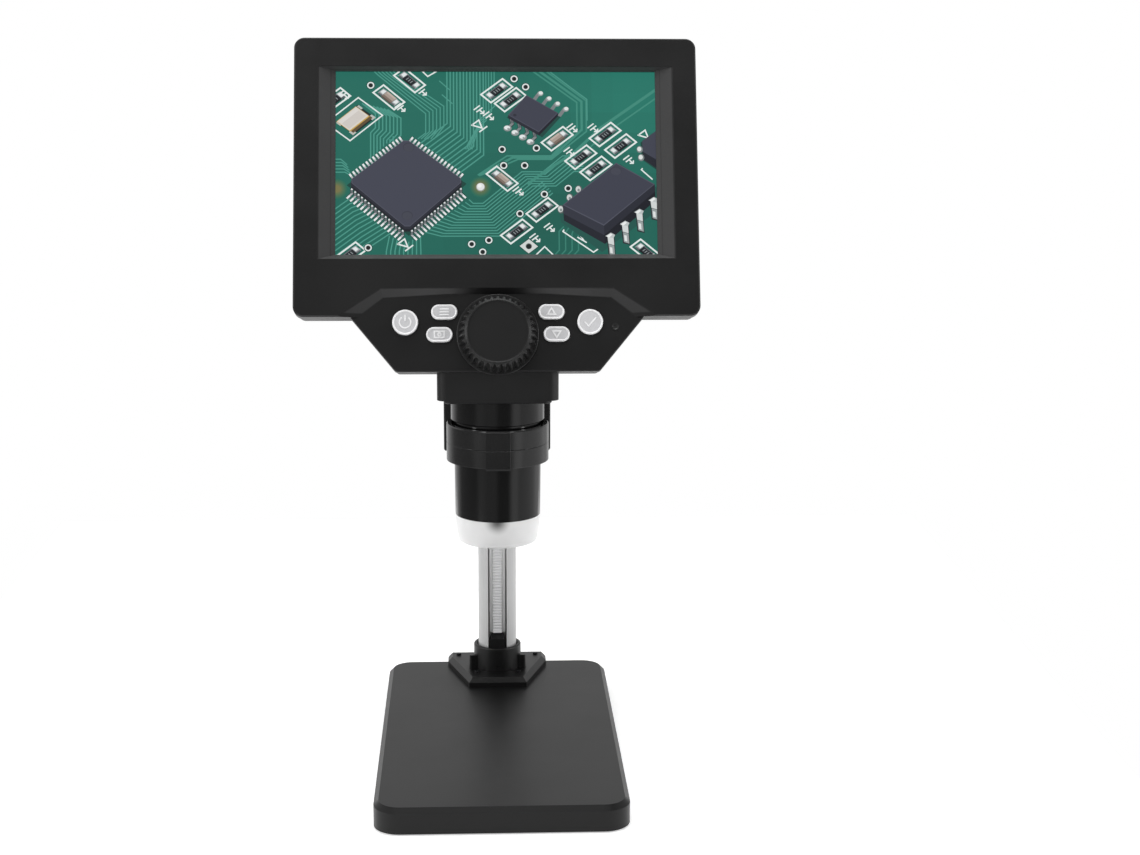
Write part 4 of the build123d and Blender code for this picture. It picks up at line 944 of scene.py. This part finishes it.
    B.disc(1310, 464, 24, (66, 68, 80), 26, 0.72)

    # a further chip cut off by the right edge
    B.poly([(1428, 330), (1520, 262), (1520, 470), (1432, 408)], (30, 66, 60))
    B.poly([(1436, 322), (1520, 262), (1520, 420), (1438, 372)], (64, 66, 79))
    B.poly([(1438, 372), (1520, 420), (1520, 462), (1440, 408)], (36, 38, 47))
    for x, y in ((1424, 362), (1430, 400)):
        B.disc(x, y, 15, (120, 128, 128), 14, 1.1)
        B.disc(x - 2, y - 2, 10, (218, 222, 220), 12, 1.1)
    return B


def picture_sheet(name, u0, u1, v0, v1, w_face, border_u, border_v):
    """One flat subdivision of the panel's front: the drawing inside, a black border outside."""
    from mathutils.geometry import delaunay_2d_cdt
    B = draw_board()
    pts, faces, cols = [], [], []

    def add(poly, col):
        out = []
        # clip to the picture
        p = poly
        for axis, lim, keep in ((0, 0.0, 1), (0, PW, -1), (1, 0.0, 1), (1, PH, -1)):
            q = []
            for i in range(len(p)):
                a, b = p[i], p[(i + 1) % len(p)]
                ia, ib = (a[axis] - lim) * keep >= 0, (b[axis] - lim) * keep >= 0
                if ia:
                    q.append(a)
                if ia != ib:
                    t = (lim - a[axis]) / (b[axis] - a[axis])
                    q.append((a[0] + (b[0] - a[0]) * t, a[1] + (b[1] - a[1]) * t))
            p = q
            if len(p) < 3:
                return
        clean = []
        for a in p:
            a = (round(a[0], 2), round(a[1], 2))
            if not clean or math.hypot(a[0] - clean[-1][0], a[1] - clean[-1][1]) > 0.05:
                clean.append(a)
        while len(clean) > 2 and math.hypot(clean[0][0] - clean[-1][0], clean[0][1] - clean[-1][1]) <= 0.05:
            clean.pop()
        if len(clean) < 3:
            return
        area2 = sum(clean[i][0] * clean[(i + 1) % len(clean)][1] - clean[(i + 1) % len(clean)][0] * clean[i][1] for i in range(len(clean)))
        if abs(area2) < 0.5:
            return
        if area2 < 0:
            clean.reverse()
        base = len(pts)
        pts.extend(clean)
        faces.append(list(range(base, base + len(clean))))
        cols.append(col)

    bu, bv = border_u / (u1 - u0) * PW, border_v / (v1 - v0) * PH
    outer = [(-bu, -bv), (PW + bu, -bv), (PW + bu, PH + bv), (-bu, PH + bv)]
    pts.extend(outer)
    faces.append([0, 1, 2, 3])
    cols.append((14, 15, 16))
    for poly, col in B.p:
        add(poly, col[0])
    vo, eo, fo, ov, oe, of = delaunay_2d_cdt([Vector(p) for p in pts], [], faces, 1, 0.001, True)
    me = bpy.data.meshes.new(name)
    co = [HEADM @ Vector((u0 + (x / PW) * (u1 - u0), v1 - (y / PH) * (v1 - v0), w_face)) for x, y in vo]
    me.from_pydata(co, [], [list(f)[::-1] for f in fo])
    att = me.color_attributes.new("picture", "FLOAT_COLOR", "CORNER")
    li = 0
    data = np.zeros((sum(len(f) for f in fo), 4), dtype=np.float32)
    for f, src in zip(fo, of):
        c = cols[max(src)] if src else (14, 15, 16)
        data[li:li + len(f)] = (lin(c[0]), lin(c[1]), lin(c[2]), 1.0)
        li += len(f)
    att.data.foreach_set("color", data.ravel())
    me.update()
    return me, len(fo)


def display_piece():
    lo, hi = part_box("lcd_panel")
    # the panel's outline in the leaning frame
    inv = HEADM.inverted()
    me_src = NODES["lcd_panel"].data
    pts = [inv @ v.co for v in me_src.vertices]
    u0, u1 = min(p.x for p in pts), max(p.x for p in pts)
    v0, v1 = min(p.y for p in pts), max(p.y for p in pts)
    w0, w1 = min(p.z for p in pts), max(p.z for p in pts)
    me, n = picture_sheet("display_panel_picture", -76.8, 76.8, -45.0, 45.0, w1, min(76.8 - 0.0, u1 - 76.8), min(v1 - 45.0, 50.0))
    bm = bmesh.new()
    bm.from_mesh(me)
    bmesh.ops.recalc_face_normals(bm, faces=bm.faces)
    bm.faces.ensure_lookup_table()
    nrm = HEADM.to_3x3() @ Vector((0, 0, 1))
    if bm.faces[0].normal.dot(nrm) < 0:
        bmesh.ops.reverse_faces(bm, faces=bm.faces)
    # side walls and back make it a closed slab
    edges = [e for e in bm.edges if e.is_boundary]
    ext = bmesh.ops.extrude_edge_only(bm, edges=edges)
    nv = [g for g in ext["geom"] if isinstance(g, bmesh.types.BMVert)]
    back = HEADM.to_3x3() @ Vector((0, 0, w0 - w1))
    bmesh.ops.translate(bm, verts=nv, vec=back)
    ne = [g for g in ext["geom"] if isinstance(g, bmesh.types.BMEdge)]
    bmesh.ops.holes_fill(bm, edges=ne, sides=0)
    for f in bm.faces:
        if f.normal.dot(nrm) < 0.5 * nrm.length:
            f.material_index = 1
    bm.to_mesh(me)
    bm.free()
    m = Mat("display_picture")
    at = m.node("ShaderNodeAttribute", attribute_name="picture")
    m.set(rough=0.32, spec=0.25)
    grain = m.noise(5200.0, 2.0)
    tint = m.node("ShaderNodeMix")
    tint.data_type = "RGBA"
    tint.blend_type = "MULTIPLY"
    tint.inputs[0].default_value = 1.0
    m.link(at.outputs["Color"], tint.inputs[6])
    m.link(m.mix_colour(grain, (0.93, 0.93, 0.93, 1.0), (1.07, 1.07, 1.07, 1.0)), tint.inputs[7])
    m.link(tint.outputs[2], m.b.inputs["Emission Color"])
    m.b.inputs["Emission Strength"].default_value = 1.0
    m.colour((0.004, 0.004, 0.004, 1.0))
    me.materials.append(m.m)
    me.materials.append(M["display"])
    o = bpy.data.objects.new("display_panel_picture", me)
    SC.collection.objects.link(o)
    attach(o, "head")
    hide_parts("lcd_panel")
    return o


display_piece()


# ---------------------------------------------------------------------------
# Column channel: the rack bar's flanges, a step behind its teeth
# ---------------------------------------------------------------------------
def channel_flange(side):
    lo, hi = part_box("column_rack")
    z0, z1 = lo.z * 1000 + 0.05, hi.z * 1000 - 0.05
    yf, yb, c = 73.45, 76.55, 0.22
    x0, x1 = 2.32, 4.12
    prof = [(x0, yb), (x0, yf + c), (x0 + c, yf), (x1 - c, yf), (x1, yf + c), (x1, yb)]
    prof = [(side * x, y) for x, y in prof]
    rings = [[(x + (side * 0.0), y, z) for x, y in prof] for z in (z0, z1)]
    verts, faces = rings_to_mesh(rings)
    return mesh_piece("column_rack_flange_left" if side < 0 else "column_rack_flange_right", verts, faces, WORLDM, M["flange"], "stand", None, False)


for side in (-1, 1):
    channel_flange(side)


# ---------------------------------------------------------------------------
# Floor, light, camera
# ---------------------------------------------------------------------------
def floor():
    bm = bmesh.new()
    vs = [bm.verts.new(p) for p in ((-0.30, -0.24, 0), (0.30, -0.24, 0), (0.30, 0.45, 0), (-0.30, 0.45, 0))]
    bm.faces.new(vs)
    me = bpy.data.meshes.new("floor")
    bm.to_mesh(me)
    bm.free()
    o = bpy.data.objects.new("floor", me)
    SC.collection.objects.link(o)
    m = Mat("floor_white")
    m.set(spec=0.2)
    m.to("Base Color", m.mix_colour(m.noise(3.0, 2.0), rgb(236, 236, 236), rgb(240, 240, 240)))
    m.b.inputs["Emission Color"].default_value = (1, 1, 1, 1)
    m.set(emit=0.42)
    m.to("Roughness", m.ramp(m.noise(6.0, 2.0), 0.3, 0.7, 0.72, 0.8))
    geo = m.node("ShaderNodeNewGeometry")
    clear = m.node("ShaderNodeBsdfTransparent")
    mix = m.node("ShaderNodeMixShader")
    m.link(geo.outputs["Backfacing"], mix.inputs[0])
    m.link(m.b.outputs[0], mix.inputs[1])
    m.link(clear.outputs[0], mix.inputs[2])
    m.link(mix.outputs[0], m.out.inputs[0])
    me.materials.append(m.m)


floor()

w = bpy.data.worlds.new("studio")
SC.world = w
w.use_nodes = True
nt = w.node_tree
nt.nodes.clear()
wo = nt.nodes.new("ShaderNodeOutputWorld")
bg = nt.nodes.new("ShaderNodeBackground")
bgc = nt.nodes.new("ShaderNodeBackground")
bgc.inputs[0].default_value = (1, 1, 1, 1)
bgc.inputs[1].default_value = 1.0
lp = nt.nodes.new("ShaderNodeLightPath")
mx = nt.nodes.new("ShaderNodeMixShader")
tc = nt.nodes.new("ShaderNodeTexCoord")
sep = nt.nodes.new("ShaderNodeSeparateXYZ")
nt.links.new(tc.outputs["Generated"], sep.inputs[0])


def wmap(sock, a, b, c, d):
    r = nt.nodes.new("ShaderNodeMapRange")
    r.interpolation_type = "SMOOTHSTEP"
    for n, v in (("From Min", a), ("From Max", b), ("To Min", c), ("To Max", d)):
        r.inputs[n].default_value = v
    nt.links.new(sock, r.inputs["Value"])
    return r.outputs["Result"]


def wmath(op, a, b):
    n = nt.nodes.new("ShaderNodeMath")
    n.operation = op
    for i, x in enumerate((a, b)):
        if isinstance(x, (int, float)):
            n.inputs[i].default_value = x
        else:
            nt.links.new(x, n.inputs[i])
    return n.outputs[0]


X, Y, Z = sep.outputs["X"], sep.outputs["Y"], sep.outputs["Z"]
mul = lambda a, b: wmath("MULTIPLY", a, b)
add = lambda a, b: wmath("ADD", a, b)
# in front: brighter to the left and above, darker just below the horizon
front = mul(mul(wmap(X, -0.16, 0.10, 0.60, 0.27), wmap(X, -0.88, -0.70, 0.58, 1.0)), add(wmap(Z, -0.10, 0.34, 0.80, 0.70), add(wmap(Z, 0.72, 0.97, 0.0, 0.6), wmap(Z, -0.60, -0.35, 1.3, 0.0))))
# at the sides: tall soft panels, the left one only above the horizon
left = mul(wmap(X, -0.92, -0.55, 0.85, 0.0), wmap(Z, -0.05, 0.22, 0.0, 1.0))
right = mul(mul(wmap(X, 0.62, 0.85, 0.0, 0.62), wmap(Y, -0.62, -0.42, 0.0, 1.0)), wmap(Z, -0.50, -0.30, 0.0, 1.0))
back = wmap(X, -0.6, 0.6, 0.86, 0.76)
t = wmap(Y, 0.35, 0.95, 0.0, 1.0)
# two upright strip lights in front, the right one strong, seen only below the horizon
low = mul(wmap(Z, -0.50, -0.32, 0.0, 1.0), wmap(Z, -0.05, 0.12, 1.0, 0.0))
strip = mul(wmap(Y, -0.88, -0.72, 0.0, 1.0), wmap(Y, -0.62, -0.44, 1.0, 0.0))
strips = mul(mul(strip, low), add(wmap(X, 0.36, 0.48, 0.0, 1.0), wmap(X, -0.50, -0.38, 0.10, 0.0)))
total = add(add(add(mul(front, wmath("SUBTRACT", 1.0, t)), mul(back, t)), add(left, right)), strips)
nt.links.new(total, bg.inputs[1])
bg.inputs[0].default_value = (1, 1, 1, 1)
nt.links.new(lp.outputs["Is Camera Ray"], mx.inputs[0])
nt.links.new(bg.outputs[0], mx.inputs[1])
nt.links.new(bgc.outputs[0], mx.inputs[2])
nt.links.new(mx.outputs[0], wo.inputs[0])


def area(name, loc, target, size, size_y, power, colour=(1, 1, 1)):
    d = bpy.data.lights.new(name, "AREA")
    d.shape = "RECTANGLE"
    d.size, d.size_y, d.energy, d.color = size, size_y, power, colour
    o = bpy.data.objects.new(name, d)
    SC.collection.objects.link(o)
    o.location = loc
    o.rotation_mode = "QUATERNION"
    o.rotation_quaternion = (Vector(target) - Vector(loc)).to_track_quat("-Z", "Y")
    return o


area("top_softbox", (0.0, -0.02, 1.25), (0, 0.0, 0.1), 0.9, 0.85, 8.0)
area("left_softbox", (-1.05, -0.45, 0.50), (0, 0.03, 0.2), 0.22, 0.55, 4.9)
area("right_softbox", (1.10, -0.35, 0.50), (0, 0.03, 0.2), 0.16, 0.50, 4.4)

cam_d = bpy.data.cameras.new("camera")
cam_d.sensor_fit = "HORIZONTAL"
cam_d.sensor_width = 36.0
cam_d.lens = 63.10
cam_d.clip_start, cam_d.clip_end = 0.05, 50.0
cam = bpy.data.objects.new("camera", cam_d)
SC.collection.objects.link(cam)
SC.camera = cam
pitch, yaw, roll = math.radians(11.856), math.radians(2.766), math.radians(0.231)
fwd = Vector((math.sin(yaw) * math.cos(pitch), math.cos(yaw) * math.cos(pitch), -math.sin(pitch)))
right = Vector((math.cos(yaw), -math.sin(yaw), 0))
upv = right.cross(fwd)
r2 = right * math.cos(roll) + upv * math.sin(roll)
u2 = -right * math.sin(roll) + upv * math.cos(roll)
cam.matrix_world = Matrix(((r2.x, u2.x, -fwd.x, -0.01076), (r2.y, u2.y, -fwd.y, -0.9213), (r2.z, u2.z, -fwd.z, 0.35414), (0, 0, 0, 1)))
SC.view_settings.view_transform = "Standard"
SC.view_settings.look = "None"
